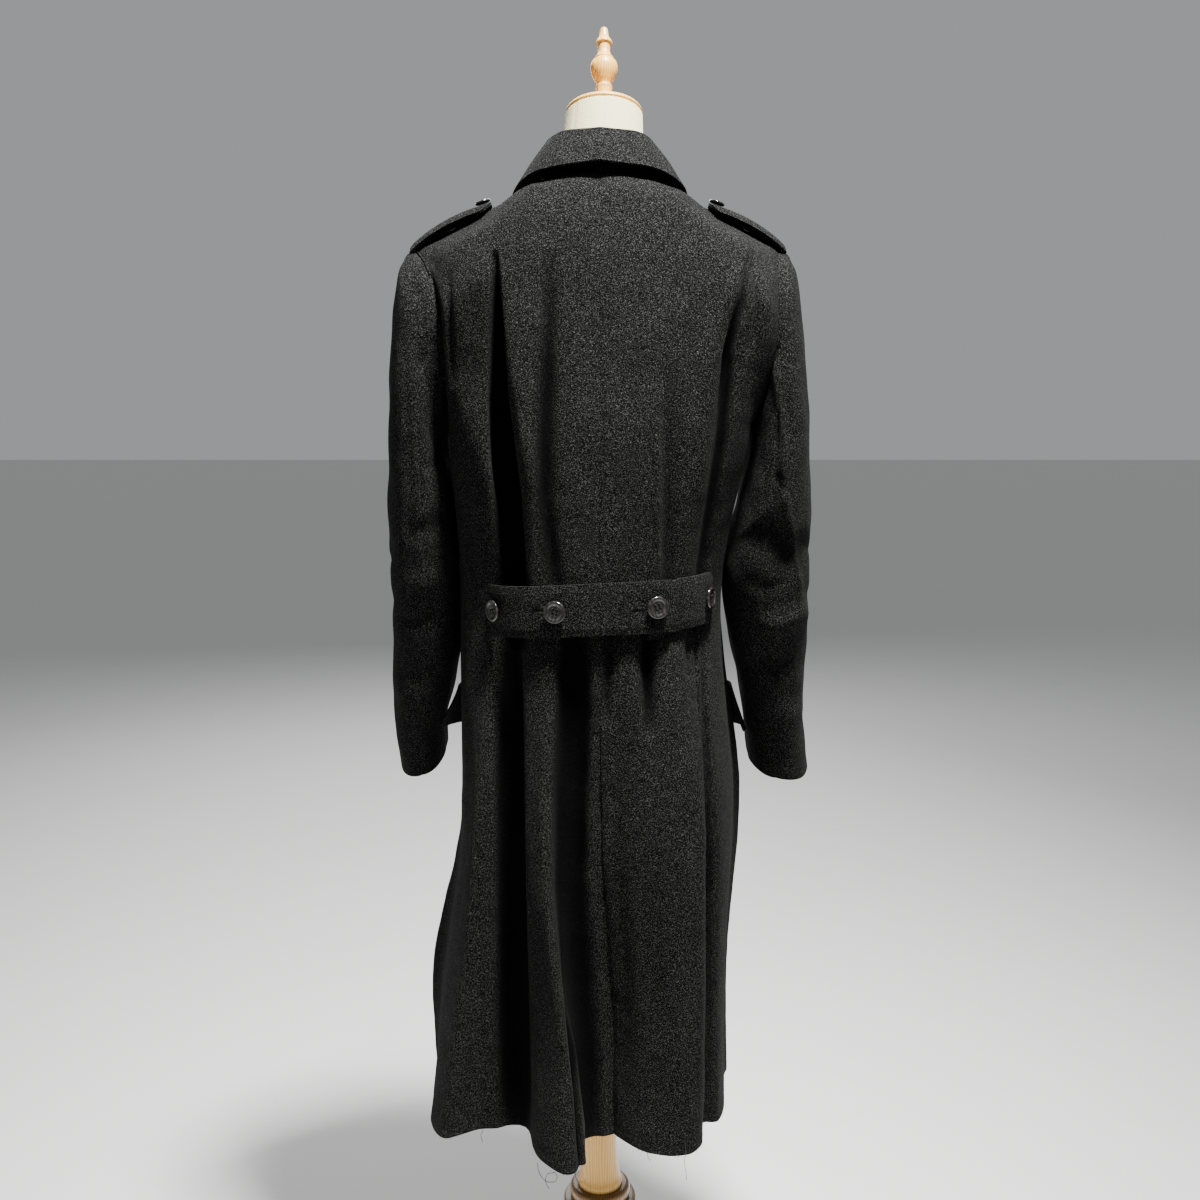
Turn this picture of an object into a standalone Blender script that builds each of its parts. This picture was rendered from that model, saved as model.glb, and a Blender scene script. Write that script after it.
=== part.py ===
# Double-breasted greatcoat, hanging open at hem, neck and cuffs on a limbless dress form.
# Metres. The floor is z = 0 and the form's post stands on the z axis. The coat's back
# faces -Y, so the wearer faces +Y and the wearer's right side is at +X.
# Tables are in millimetres: "out" is the distance outward from the centre line,
# "back" the distance behind the post's axis.

import math

import bmesh
import bpy
import numpy as np
from mathutils import Matrix, Vector

MM = 0.001

# Driving sizes
WALL = 0.003            # heavy wool cloth
BELT_WALL = 0.004       # two layers sewn together
SEAM_GAP = 0.0004       # between two pieces that are sewn together
ARMHOLE_GAP = 0.0006
LAY_GAP = 0.0005        # between a piece and what it lies on
BUTTON_LARGE = 0.027
BUTTON_SMALL = 0.020

SIDES = {"left": -1.0, "right": 1.0}

# Heights of the body's sections at the centre back, and how far round the armhole each one
# ends, in degrees from the underarm (0) over the back or the front to the shoulder tip (180).
# "rows" is the number of rows of faces up to the next section.
LEVELS = (
    # name, height, armhole angle, rows
    ("hem", 430, None, 3),
    ("knee", 580, None, 3),
    ("seat", 830, None, 5),
    ("waist", 1105, None, 4),
    ("chest", 1290, 0, 3),
    ("blade", 1400, 60, 2),
    ("yoke", 1505, 100, 2),
    ("slope", 1580, 140, 1),
    ("ridge", 1609, 160, 1),
    ("seam", 1622, 180, 0),
)
FOLDED_LEVELS = 6

# Fold lines of the back, from the centre seam to the side. Each runs from the hem up to
# the shoulder blade. A pair of columns gives its place at one level.
BACK_LINES = {
    "left": (
        # line, hem out, back, knee out, back, seat out, back,
        #       waist out, back, chest out, back, blade out, back
        ("centre", -22, 115, -20, 117, -2, 140, 0, 150, 0, 150, 0, 140),
        ("lap", -4, 131, -3, 129, 10, 147, 16, 149.5, 20, 151, 20, 141),
        ("tuck", 19, 149, 18, 150, 26, 151, 34, 147.5, 38, 150, 40, 142),
        ("roll_in", 17, 188, 26, 176, 44, 159, 48, 145.5, 58, 146, 64, 140),
        ("crest", 40, 208, 47, 190, 68, 166, 66, 141.5, 84, 146, 98, 137),
        ("flank", 74, 178, 74, 164, 92, 148, 84, 133, 99, 133, 110, 128),
        ("valley", 106, 112, 104, 118, 113, 121, 102, 111, 115, 114, 122, 117),
        ("panel", 150, 113, 141, 116, 132, 118, 118, 105, 134, 121, 140, 118),
        ("strip", 196, 134, 180, 129, 154, 122, 131, 96, 160, 108, 165, 107),
        ("turn", 222, 88, 203, 82, 173, 76, 152, 60, 180, 68, 180, 98),
        ("side", 226, 0, 216, 0, 182, 0, 168, 0, 184, 0, 187, 84),
    ),
    "right": (
        ("centre", 17, 124, 16, 126, 3, 146, 0, 150, 0, 150, 0, 140),
        ("plain", 34, 143, 34, 140, 28, 151, 22, 149, 24, 151, 24, 141),
        ("broad", 62, 164, 62, 155, 58, 156, 46, 146, 52, 151, 52, 142),
        ("soft", 90, 171, 94, 165, 93, 155, 70, 139, 72, 147, 82, 141),
        ("ridge", 111, 168, 121, 158, 121, 145, 102, 117, 119, 134, 132, 129),
        ("edge", 130, 143, 132, 138, 130, 127, 113, 98, 130, 122, 142, 121),
        ("tuck", 134, 101, 133, 105, 130, 107, 114, 89, 133, 109, 146, 112),
        ("strip", 152, 97, 150, 97, 147, 104, 126, 83, 151, 109, 164, 112),
        ("turn", 165, 60, 163, 60, 168, 60, 138, 44, 174, 72, 186, 101),
        ("side", 171, 0, 168, 0, 178, 0, 145, 0, 186, 0, 205, 82),
    ),
}

# Upper rows of the back run from the centre seam or neck to the armhole. "reach" is the
# share of the way over which the row still curves toward the back.
UPPER_ROWS = (
    # name, back at centre, reach, roundness
    ("yoke", 128, 1.00, 2.6),
    ("slope", 110, 0.93, 2.2),
    ("ridge", 97, 0.60, 2.0),
    ("seam", 86, 0.343, 2.0),
)

NECK_HALF = 80          # the shoulder seams start this far from the centre line
SHOULDER_NECK = 0.0799  # the same, just inside, in metres
SEAM_START = 1624       # height of the shoulder seams at the neck

# Fronts: depth at the centre front, roundness, and where the edge or the lapel's roll line is.
FRONT_ROWS = (
    # name, depth, roundness, edge out, edge height
    ("hem", 172, 2.4, -90, 430),
    ("knee", 164, 2.4, -90, 580),
    ("seat", 150, 2.4, -90, 830),
    ("waist", 131, 2.3, -90, 1105),
    ("chest", 142, 2.2, -88, 1290),
    ("blade", 146, 2.2, -35, 1395),
    ("yoke", 128, 2.2, 12, 1490),
    ("slope", 92, 2.0, 47, 1560),
    ("ridge", 46, 2.0, 67, 1600),
    ("seam", 0, 2.0, 80, 1624),
)
EVEN_FROM = 1400         # above this height a front's columns become evenly spaced, mm
LEFT_FRONT_RISE = 9.0    # the left front lies over the right one, mm

# Soft vertical folds of the fronts. "place" runs from the side seam (0) to the edge (1).
FRONT_FOLDS = {
    "left": (
        # place, width, hem, knee, seat, waist, chest
        (0.11, 0.10, 6, 22, 6, 2, 0),
        (0.24, 0.08, -16, -13, -8, -2, 0),
        (0.36, 0.08, 16, 12, 6, 2, 3),
    ),
    "right": (
        (0.12, 0.10, 12, 13, 17, 4, 0),
        (0.25, 0.08, -16, -12, -7, -3, -2),
        (0.37, 0.08, 12, 10, 5, 2, 2),
    ),
}

# Armhole: an oval seen from the side, whose distance from the centre line changes.
ARMHOLE_CENTRE = 1437.5
ARMHOLE_HEIGHT = 108
ARMHOLE_BACK = 88
ARMHOLE_FRONT = 76
ARMHOLE_OUT = {
    # degrees from the underarm: 0, 60, 100, 140, 160, 180
    "left": (187, 187, 190, 209, 223, 233.5),
    "right": (189, 205, 214, 215, 219, 228.5),
}
ARMHOLE_ANGLES = (0, 60, 100, 140, 160, 180)
SHOULDER_LEAN = 0.9     # how far the seam at the shoulder tip faces outward

# Sleeve rings from the armhole to the cuff. Each passes through an inner and an outer point.
SLEEVE_RINGS = {
    "left": (
        # name, inner out, height, outer out, height, back, front, forward rise
        ("head", 192, 1322, 246, 1521, 90, 80, 0),
        ("cap", 194, 1313, 253, 1480, 92, 84, 0),
        ("cap_low", 194, 1298, 259, 1430, 92, 86, 0),
        ("upper", 191, 1272, 264, 1362, 90, 87, 0),
        ("biceps", 187, 1238, 267, 1290, 86, 88, 0),
        ("over_elbow", 180, 1190, 270, 1218, 79, 90, 0),
        ("elbow", 179, 1135, 271, 1140, 66, 96, 0),
        ("forearm", 198, 1065, 273, 1060, 48, 108, 5),
        ("low_arm", 212, 990, 277, 985, 30, 122, 10),
        ("wrist", 217, 930, 276, 925, 14, 136, 20),
        ("cuff", 213, 884, 272, 876, 0, 150, 30),
    ),
    "right": (
        ("head", 198, 1320, 240, 1521, 89, 80, 0),
        ("cap", 203, 1310, 247, 1480, 91, 84, 0),
        ("cap_low", 203, 1294, 254, 1430, 91, 86, 0),
        ("upper", 198, 1268, 260, 1362, 89, 87, 0),
        ("biceps", 188, 1236, 265, 1290, 86, 87, 0),
        ("over_elbow", 176, 1190, 270, 1212, 80, 88, 0),
        ("elbow", 168, 1130, 271, 1140, 70, 92, 0),
        ("forearm", 178, 1060, 272, 1065, 52, 102, 5),
        ("low_arm", 191, 990, 271, 985, 32, 114, 10),
        ("wrist", 198, 925, 277, 920, 14, 124, 18),
        ("cuff", 203, 880, 285, 868, 0, 132, 26),
    ),
}
SLEEVE_ROUNDNESS = 2.3
HIND_SEAM = 100         # degrees round the sleeve from its outermost line
FORE_SEAM = -120
SLEEVE_STEP = 20        # the armhole's rows lie at the same angles

# Collar: stand, fold and outer edge at five places from the centre back to the front end.
COLLAR = (
    # place, stand out, back, height, fold out, back, height, edge out, back, height
    ("centre", 0, 79.5, 1612, 0, 66, 1677, 0, 101, 1634),
    ("corner", 51, 58, 1617, 44, 48, 1676, 70, 77, 1627),
    ("side", 72, 8, 1629, 62, 4, 1673, 106, 2, 1618),
    ("front", 65, -20, 1626, 63, -26, 1655, 115, -44, 1592),
    ("end", 60, -34, 1612, 64, -48, 1616, 104, -82, 1560),
)
COLLAR_WALL = 0.003

# Lapel: width at heights along the roll line, mm
LAPEL = (
    # height, width
    (1297, 8),
    (1350, 40),
    (1420, 78),
    (1480, 99),
    (1508, 106),
    (1522, 82),
    (1545, 62),
    (1590, 34),
)

LAPEL_ROWS = {"left": 13, "right": 10}
LAPEL_COLUMNS = 6
LAPEL_SHOWS = 1418      # below this height the left front covers the right lapel

STRAP_HALF = 25.5        # half its width
STRAP_TIP_OUT = 137
STRAP_TAPER = 0.82       # the rounded tip starts at this share of its length
STRAP_LINE = -2

# Half belt: how far its plan curve falls away from the centre back at each side
BELT_BACK = 156
BELT_HALF_WIDTH = 31
BELT_CURVE = {"left": (1.33e-3, 1.0e-7), "right": (1.25e-3, 1.3e-7)}
BELT_HEIGHTS = ((-133, 1107), (0, 1116), (141, 1120))
BELT_LEFT = (-134, 86)          # from its sewn end to its free end
BELT_RIGHT = (57, 143)
BELT_SEWN = 30           # the sewn end is drawn in to the cloth over this length
BELT_TUCK = {"left": 2.6, "right": 3.1}
BELT_BUTTONS = (-127, -52, 66, 137)
FRONT_BUTTON_HEIGHTS = (1262, 1150, 1038, 926)
FRONT_BUTTON_OUT = 68

FLAP_PLACES = (0.05, 0.43)       # between the side seam and the front edge
FLAP_HEIGHTS = (925, 990)
FLAP_WALL = 0.0035
FLAP_LIFT = {"left": 30, "right": 10}    # its lower back corner stands out

# Turned wood: radius and height pairs, top to bottom, mm
FINIAL = (
    (0, 109), (3.4, 108.2), (4.8, 105), (6, 97), (10.4, 88.4), (7.8, 86), (7.4, 78),
    (9, 71), (12.2, 67), (11.8, 65.6), (15.4, 62), (17, 55), (15.8, 48), (12.2, 40),
    (8.2, 32), (10.6, 29.5), (10, 27), (9.4, 20), (12, 9), (18, 0), (0, 0),
)
NECK_CAP = (
    (0, 8), (38, 8), (43.5, 7.4), (46.5, 5.4), (47.5, 3), (46.4, 0.8), (44, 0), (0, 0),
)
POST = (
    (0, 859.7), (21.5, 859.7), (21.5, 470), (21.7, 400), (22.6, 350), (24.6, 318),
    (28, 294), (31, 284), (31, 280.3), (0, 280.3),
)
POST_RING = (
    (0, 280), (36, 280), (40.5, 277.5), (42, 272), (41.4, 266.5), (38.5, 263), (34, 261.3),
    (0, 261.3),
)
BASE_HUB = (
    (0, 261), (48, 261), (51, 256), (51, 248), (47, 236), (36, 212), (31, 175), (33, 130),
    (42, 90), (56, 60), (64, 40), (64, 25.3), (0, 25.3),
)
BASE_DISC = (
    (0, 25), (160, 25), (172, 21), (178, 14), (180, 8), (180, 0), (0, 0),
)
NECK_TILT = 16          # degrees, toward the wearer's front
NECK_FROM = 1600        # the neck leans above this height, mm
CAP_CENTRE = (0.005, 0.006, 1.706)

# Dress form: sections from its flat foot to the tilted top of the neck
FORM_SECTIONS = (
    # height, half width, back, front, roundness, tilt
    (860, 146, 100, 98, 2.2, 0),
    (900, 150, 106, 103, 2.2, 0),
    (960, 149, 107, 104, 2.2, 0),
    (1040, 132, 98, 96, 2.2, 0),
    (1100, 120, 92, 92, 2.2, 0),
    (1170, 128, 98, 100, 2.2, 0),
    (1260, 146, 110, 116, 2.2, 0),
    (1350, 158, 117, 122, 2.2, 0),
    (1430, 166, 118, 118, 2.2, 0),
    (1500, 172, 106, 98, 2.2, 0),
    (1545, 168, 86, 74, 2.2, 0),
    (1572, 154, 70, 56, 2.1, 0),
    (1592, 121, 60, 44, 2.0, 0),
    (1606, 90, 58, 42, 2.0, 4),
    (1622, 66, 58, 45, 2.0, 8),
    (1645, 54, 54, 48, 2.0, 12),
    (1674, 50, 51, 50, 2.0, 15),
    (1705.6, 47.5, 47.5, 47.5, 2.0, 16),
)


# Tables and curves

def smooth_table(knots, values, at):
    """Cubic through a table's rows that never overshoots between them."""
    knots = np.asarray(knots, float)
    values = np.asarray(values, float)
    at = np.asarray(at, float)
    extra = (1,) * (values.ndim - 1)
    step = np.diff(knots).reshape((-1,) + extra)
    rise = np.diff(values, axis=0) / step
    slope = np.zeros_like(values)
    total = rise[:-1] + rise[1:]
    same_way = rise[:-1] * rise[1:] > 0
    safe = np.where(same_way, total, 1.0)
    slope[1:-1] = np.where(same_way, 2 * rise[:-1] * rise[1:] / safe, 0.0)
    slope[0] = rise[0]
    slope[-1] = rise[-1]
    cell = np.clip(np.searchsorted(knots, at, side="right") - 1, 0, len(knots) - 2)
    width = step[cell]
    t = ((at - knots[cell]).reshape(at.shape + extra)) / width
    t = np.clip(t, 0, 1)
    return (values[cell] * (1 + 2 * t) * (1 - t) ** 2
            + values[cell + 1] * t * t * (3 - 2 * t)
            + width * slope[cell] * t * (1 - t) ** 2
            - width * slope[cell + 1] * t * t * (1 - t))


def signed_power(value, power):
    return np.sign(value) * np.abs(value) ** power


def unit(vectors):
    return vectors / np.linalg.norm(vectors, axis=-1, keepdims=True)


LEVEL_HEIGHT = np.array([row[1] for row in LEVELS], float)
LEVEL_ANGLE = np.array([row[2] if row[2] is not None else 0 for row in LEVELS], float)
CHEST = 4
SEAM_TOP = len(LEVELS) - 1


def row_heights():
    """Centre-back heights of all rows of faces, hem to shoulder seam."""
    heights = [LEVEL_HEIGHT[0]]
    for low, high, row in zip(LEVEL_HEIGHT[:-1], LEVEL_HEIGHT[1:], LEVELS[:-1]):
        heights += [low + (high - low) * (k + 1) / row[3] for k in range(row[3])]
    return np.array(heights)


# Armhole

def armhole_points(side, angles, front):
    """Points of the armhole at angles from the underarm, and the cloth's outward way there."""
    angles = np.asarray(angles, float)
    out = smooth_table(ARMHOLE_ANGLES, ARMHOLE_OUT[side], angles)
    turn = np.radians(angles)
    depth = ARMHOLE_FRONT if front else -ARMHOLE_BACK
    points = np.stack([SIDES[side] * out, depth * np.sin(turn),
                       ARMHOLE_CENTRE - ARMHOLE_HEIGHT * np.cos(turn)], axis=-1) * MM
    way = unit(np.stack([0 * turn, np.sign(depth) * np.sin(turn) / abs(depth),
                         -np.cos(turn) / ARMHOLE_HEIGHT], axis=-1))
    way[..., 0] = SIDES[side] * SHOULDER_LEAN * ((1 - np.cos(turn)) / 2) ** 1.5
    return points, unit(way)


def armhole_angle(heights):
    return np.interp(heights, LEVEL_HEIGHT[CHEST:], LEVEL_ANGLE[CHEST:])


# Back panels

def back_level_points(side):
    """Fold lines by levels: an array of lines x levels x (x, y, z) in millimetres."""
    lines = BACK_LINES[side]
    sign = SIDES[side]
    count = len(lines)
    points = np.zeros((count, len(LEVELS), 3))
    for k, line in enumerate(lines):
        for level in range(FOLDED_LEVELS):
            out, back = line[1 + 2 * level], line[2 + 2 * level]
            points[k, level] = (sign * out, -back, LEVEL_HEIGHT[level])
    share = np.abs(points[:, FOLDED_LEVELS - 1, 0]) / abs(points[-1, FOLDED_LEVELS - 1, 0])
    ends, _ = armhole_points(side, LEVEL_ANGLE[CHEST:], False)
    ends = ends / MM
    for level in range(CHEST, FOLDED_LEVELS):
        drop = ends[level - CHEST, 2] - LEVEL_HEIGHT[level]
        points[:, level, 2] += drop * share ** 4
    for row, level in zip(UPPER_ROWS, range(FOLDED_LEVELS, len(LEVELS))):
        end = ends[level - CHEST]
        far = abs(end[0])
        out = share * far
        reach = row[2] * far
        inside = np.clip(out / reach, 0, 1)
        curve = (1 - inside ** row[3]) ** (1 / row[3])
        points[:, level, 0] = sign * out
        points[:, level, 1] = end[1] + (-row[1] - end[1]) * curve
        fall = np.clip((out - NECK_HALF) / (far - NECK_HALF), 0, 1)
        points[:, level, 2] = LEVEL_HEIGHT[level] + (end[2] - LEVEL_HEIGHT[level]) * fall
    return points


def back_sheet(side, lines, heights):
    """Outer side of a back panel: lines counts fold lines from the centre, heights in mm."""
    lines = np.asarray(lines, float)
    heights = np.asarray(heights, float)
    table = back_level_points(side)
    by_height = smooth_table(LEVEL_HEIGHT, np.swapaxes(table, 0, 1), heights)
    last = len(table) - 1
    ends, _ = armhole_points(side, armhole_angle(heights), False)
    shift = ends / MM - by_height[:, last]
    shift[heights < LEVEL_HEIGHT[CHEST]] = 0
    result = np.zeros((len(lines), len(heights), 3))
    across = np.arange(last + 1)
    for k in range(len(heights)):
        row = smooth_table(across, by_height[k], lines)
        near_end = np.clip(1 - (last - lines) / 1.5, 0, 1) ** 2
        result[:, k] = row + near_end[:, None] * shift[k]
        if heights[k] == LEVEL_HEIGHT[-1]:
            neck = np.clip(np.abs(result[:, k, 0]) / NECK_HALF, 0, 1)
            result[:, k, 1] = -UPPER_ROWS[-1][1] * np.sqrt(1 - neck ** 2)
    return result * MM


# Front panels

def front_sheet(side, places, heights):
    """Outer side of a front: place 0 is the side seam or armhole, 1 the edge or roll line."""
    places = np.asarray(places, float)
    heights = np.asarray(heights, float)
    sign = SIDES[side]
    table = np.array([row[1:] for row in FRONT_ROWS], float)
    rows = smooth_table(LEVEL_HEIGHT, table, heights)
    back_lines = len(BACK_LINES[side]) - 1
    seam = back_sheet(side, [back_lines], heights)[0] / MM
    hole, _ = armhole_points(side, armhole_angle(heights), True)
    start = np.where((heights >= LEVEL_HEIGHT[CHEST])[:, None], hole / MM, seam)
    result = np.zeros((len(places), len(heights), 3))
    folds = FRONT_FOLDS[side]
    fold_rows = smooth_table(LEVEL_HEIGHT[:5], np.array([f[2:] for f in folds]).T, heights)
    for k in range(len(heights)):
        depth, roundness, edge, edge_height = rows[k]
        if side == "left":
            depth += LEFT_FRONT_RISE * min(1.0, depth / 100.0)
        side_out = abs(start[k, 0])
        side_y, side_z = start[k, 1], start[k, 2]
        end_angle = math.asin(np.clip(signed_power(edge / side_out, roundness / 2), -1, 1))
        angle = math.pi / 2 + (end_angle - math.pi / 2) * places
        even = np.clip((heights[k] - EVEN_FROM) / (LEVEL_HEIGHT[-2] - EVEN_FROM), 0, 1)
        out = ((1 - even) * side_out * signed_power(np.sin(angle), 2 / roundness)
               + even * (side_out + (edge - side_out) * places))
        inside = 1 - np.clip(np.abs(out) / side_out, 0, 1) ** roundness
        y = side_y + (depth - side_y) * inside ** (1 / roundness)
        fade = np.clip((LEVEL_HEIGHT[CHEST] + 60 - heights[k]) / 120, 0, 1)
        wave = sum(fold_rows[k, n] * np.exp(-((places - f[0]) / f[1]) ** 2)
                   for n, f in enumerate(folds))
        wave = wave * fade * np.clip(places / 0.06, 0, 1) * np.clip((0.50 - places) / 0.10, 0, 1)
        out = out + wave * np.sin(angle)
        y = y + wave * np.abs(np.cos(angle))
        height_share = np.clip((side_out - out) / (side_out - edge), 0, 1)
        z = side_z + (edge_height - side_z) * height_share
        result[:, k] = np.stack([sign * out, y, z], axis=-1)
    return result * MM


def front_place(side, out, height):
    """Place on a front's row where it lies at a distance out from the centre line."""
    places = np.linspace(0, 1, 201)
    row = front_sheet(side, places, [height])[:, 0] / MM
    outs = SIDES[side] * row[:, 0]
    return float(np.interp(-out, -outs, places))


def sheet_normals(points, side):
    """Outward ways of a grid of points, from its own differences."""
    along = np.gradient(points, axis=0)
    up = np.gradient(points, axis=1)
    return unit(np.cross(along, up)) * SIDES[side]


# Meshes

def material(name, colour, roughness):
    made = bpy.data.materials.new(name)
    made.use_nodes = True
    shader = made.node_tree.nodes["Principled BSDF"]
    shader.inputs["Base Color"].default_value = (*colour, 1.0)
    shader.inputs["Roughness"].default_value = roughness
    shader.inputs["Metallic"].default_value = 0.0
    made.diffuse_color = (*colour, 1.0)
    return made


def finish_mesh(name, mesh, finish, smooth=True):
    """Turn the faces outward and put the mesh in the scene as one named piece."""
    work = bmesh.new()
    work.from_mesh(mesh)
    if work.calc_volume(signed=True) < 0:
        bmesh.ops.reverse_faces(work, faces=work.faces)
    work.to_mesh(mesh)
    work.free()
    if smooth:
        mesh.shade_smooth()
        mesh.set_sharp_from_angle(angle=math.radians(40))
    piece = bpy.data.objects.new(name, mesh)
    piece.data.materials.append(finish)
    parts.objects.link(piece)
    return piece


def wall_piece(name, outer, inner, finish):
    """A closed wall between two grids of points, with the same triangles on both sides."""
    lines, rows = outer.shape[:2]
    points = np.concatenate([outer.reshape(-1, 3), inner.reshape(-1, 3)])
    half = lines * rows

    def at(layer, line, row):
        return layer * half + line * rows + row

    faces = []

    def add(a, b, c, d, flip):
        for three in ((a, b, c), (a, c, d)):
            faces.append(three[::-1] if flip else three)

    for line in range(lines - 1):
        for row in range(rows - 1):
            corners = [(line, row), (line + 1, row), (line + 1, row + 1), (line, row + 1)]
            spots = [outer[corner] for corner in corners]
            if np.linalg.norm(spots[2] - spots[0]) > np.linalg.norm(spots[3] - spots[1]):
                corners = corners[1:] + corners[:1]
            add(*[at(0, *corner) for corner in corners], False)
            add(*[at(1, *corner) for corner in corners], True)
        for row, flip in ((0, True), (rows - 1, False)):
            add(at(0, line, row), at(0, line + 1, row),
                at(1, line + 1, row), at(1, line, row), flip)
    for line, flip in ((0, False), (lines - 1, True)):
        for row in range(rows - 1):
            add(at(0, line, row), at(0, line, row + 1),
                at(1, line, row + 1), at(1, line, row), flip)
    mesh = bpy.data.meshes.new(name)
    mesh.from_pydata([tuple(p) for p in points], [], faces)
    mesh.update()
    return finish_mesh(name, mesh, finish)


def lofted_body(name, rings, finish):
    """A closed body through rings with the same number of points, flat at both ends."""
    count = len(rings[0])
    faces = []
    for ring in range(len(rings) - 1):
        for k in range(count):
            here, there = ring * count + k, ring * count + (k + 1) % count
            faces.append([here, there, there + count, here + count])
    faces.append(list(range(count))[::-1])
    faces.append([(len(rings) - 1) * count + k for k in range(count)])
    mesh = bpy.data.meshes.new(name)
    mesh.from_pydata([tuple(p) for ring in rings for p in ring], [], faces)
    mesh.update()
    return finish_mesh(name, mesh, finish)


def turned_piece(name, profile, steps, finish, place=None):
    """A turned piece: its outer profile from top to bottom, spun by a Screw modifier."""
    mesh = bpy.data.meshes.new(name)
    points = [(radius * MM, 0.0, height * MM) for radius, height in profile]
    mesh.from_pydata(points, [(k, k + 1) for k in range(len(points) - 1)], [])
    piece = bpy.data.objects.new(name, mesh)
    piece.data.materials.append(finish)
    spin = piece.modifiers.new("spin", "SCREW")
    spin.axis = "Z"
    spin.steps = steps
    spin.render_steps = steps
    spin.use_merge_vertices = True
    spin.merge_threshold = 0.00002
    spin.use_smooth_shade = True
    if place is not None:
        piece.matrix_world = place
    parts.objects.link(piece)
    return piece


# Coat body

def build_back(side):
    lines = len(BACK_LINES[side])
    across = np.linspace(0, lines - 1, 2 * (lines - 1) + 3)
    heights = row_heights()
    outer = back_sheet(side, across, heights)
    normals = sheet_normals(outer, side)
    sign = SIDES[side]
    above_chest = heights >= LEVEL_HEIGHT[CHEST]
    above_waist = heights >= LEVEL_HEIGHT[CHEST - 1]
    normals[0, above_waist, 0] = 0
    _, hole_way = armhole_points(side, armhole_angle(heights), False)
    normals[-1] = np.where(above_chest[:, None], hole_way, side_seam_normals(side, heights))
    shoulder = np.abs(outer[:, -1, 0]) >= SHOULDER_NECK
    neck = np.clip(np.abs(outer[:, -1, :1]) / SHOULDER_NECK, 0, 1) ** 1.5
    normals[:, -1] = (1 - neck) * normals[:, -2] + neck * shoulder_way(side)
    normals[-1, -1] = hole_way[-1]
    normals = unit(normals)
    inner = outer - normals * WALL
    move = np.zeros_like(outer)
    move[0, :, 0] = sign * SEAM_GAP / 2
    move[-1, heights <= LEVEL_HEIGHT[CHEST], 1] = -SEAM_GAP / 2
    move[:, -1, 1] = np.where(shoulder, -SEAM_GAP / 2, 0)
    wall_piece("back_" + side, outer + move, inner + move, WOOL)


def shoulder_way(side):
    """Way that the shoulder seam faces, square to it."""
    tip = ARMHOLE_OUT[side][-1]
    rise = SEAM_START - (ARMHOLE_CENTRE + ARMHOLE_HEIGHT)
    run = tip - NECK_HALF
    return unit(np.array([SIDES[side] * rise, 0.0, run]))


def side_seam_normals(side, heights):
    """Shared outward way along the side seam, so that both walls end in one plane."""
    last = len(BACK_LINES[side]) - 1
    seam = back_sheet(side, [last], heights)[0]
    up = np.gradient(seam, axis=0)
    forward = np.zeros_like(up)
    forward[:, 1] = 1.0
    return unit(np.cross(up, forward)) * -SIDES[side]


FRONT_PLACES = np.concatenate([np.linspace(0, 0.5, 11), np.linspace(0.6, 1, 5)])


def build_front(side):
    heights = row_heights()
    outer = front_sheet(side, FRONT_PLACES, heights)
    normals = sheet_normals(outer, side)
    above_chest = heights >= LEVEL_HEIGHT[CHEST]
    _, hole_way = armhole_points(side, armhole_angle(heights), True)
    normals[0] = np.where(above_chest[:, None], hole_way, side_seam_normals(side, heights))
    normals[:, -1] = shoulder_way(side)
    normals[0, -1] = hole_way[-1]
    normals = unit(normals)
    inner = outer - normals * WALL
    move = np.zeros_like(outer)
    move[0, heights <= LEVEL_HEIGHT[CHEST], 1] = SEAM_GAP / 2
    move[:, -1, 1] = SEAM_GAP / 2
    wall_piece("front_" + side, outer + move, inner + move, WOOL)


def build_lapel(side):
    table = np.array(LAPEL, float)
    lowest = table[0, 0] if side == "left" else LAPEL_SHOWS
    heights = np.linspace(lowest, table[-1, 0], LAPEL_ROWS[side])
    widths = np.interp(heights, table[:, 0], table[:, 1])
    points = np.zeros((LAPEL_COLUMNS, len(heights), 3))
    ways = np.zeros_like(points)
    for k, height in enumerate(heights):
        row = front_sheet(side, np.linspace(0, 1, 81), [height - 2, height, height + 2])
        way = sheet_normals(row, side)[:, 1]
        line = row[:, 1]
        outs = SIDES[side] * line[:, 0] / MM
        edge = outs[-1]
        start = edge + 2 if side == "left" else max(edge + 2, 4 - edge)
        targets = np.linspace(start, edge + widths[k], LAPEL_COLUMNS)
        for axis in range(3):
            points[:, k, axis] = np.interp(-targets, -outs, line[:, axis])
            ways[:, k, axis] = np.interp(-targets, -outs, way[:, axis])
    ways = unit(ways)
    lift = LAY_GAP + 0.0004 + 0.0021 * np.clip((heights - 1480) / 50, 0, 1)[:, None]
    inner = points + ways * lift
    outer = points + ways * (lift + WALL)
    wall_piece("lapel_" + side, outer, inner, WOOL)


# Collar

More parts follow.
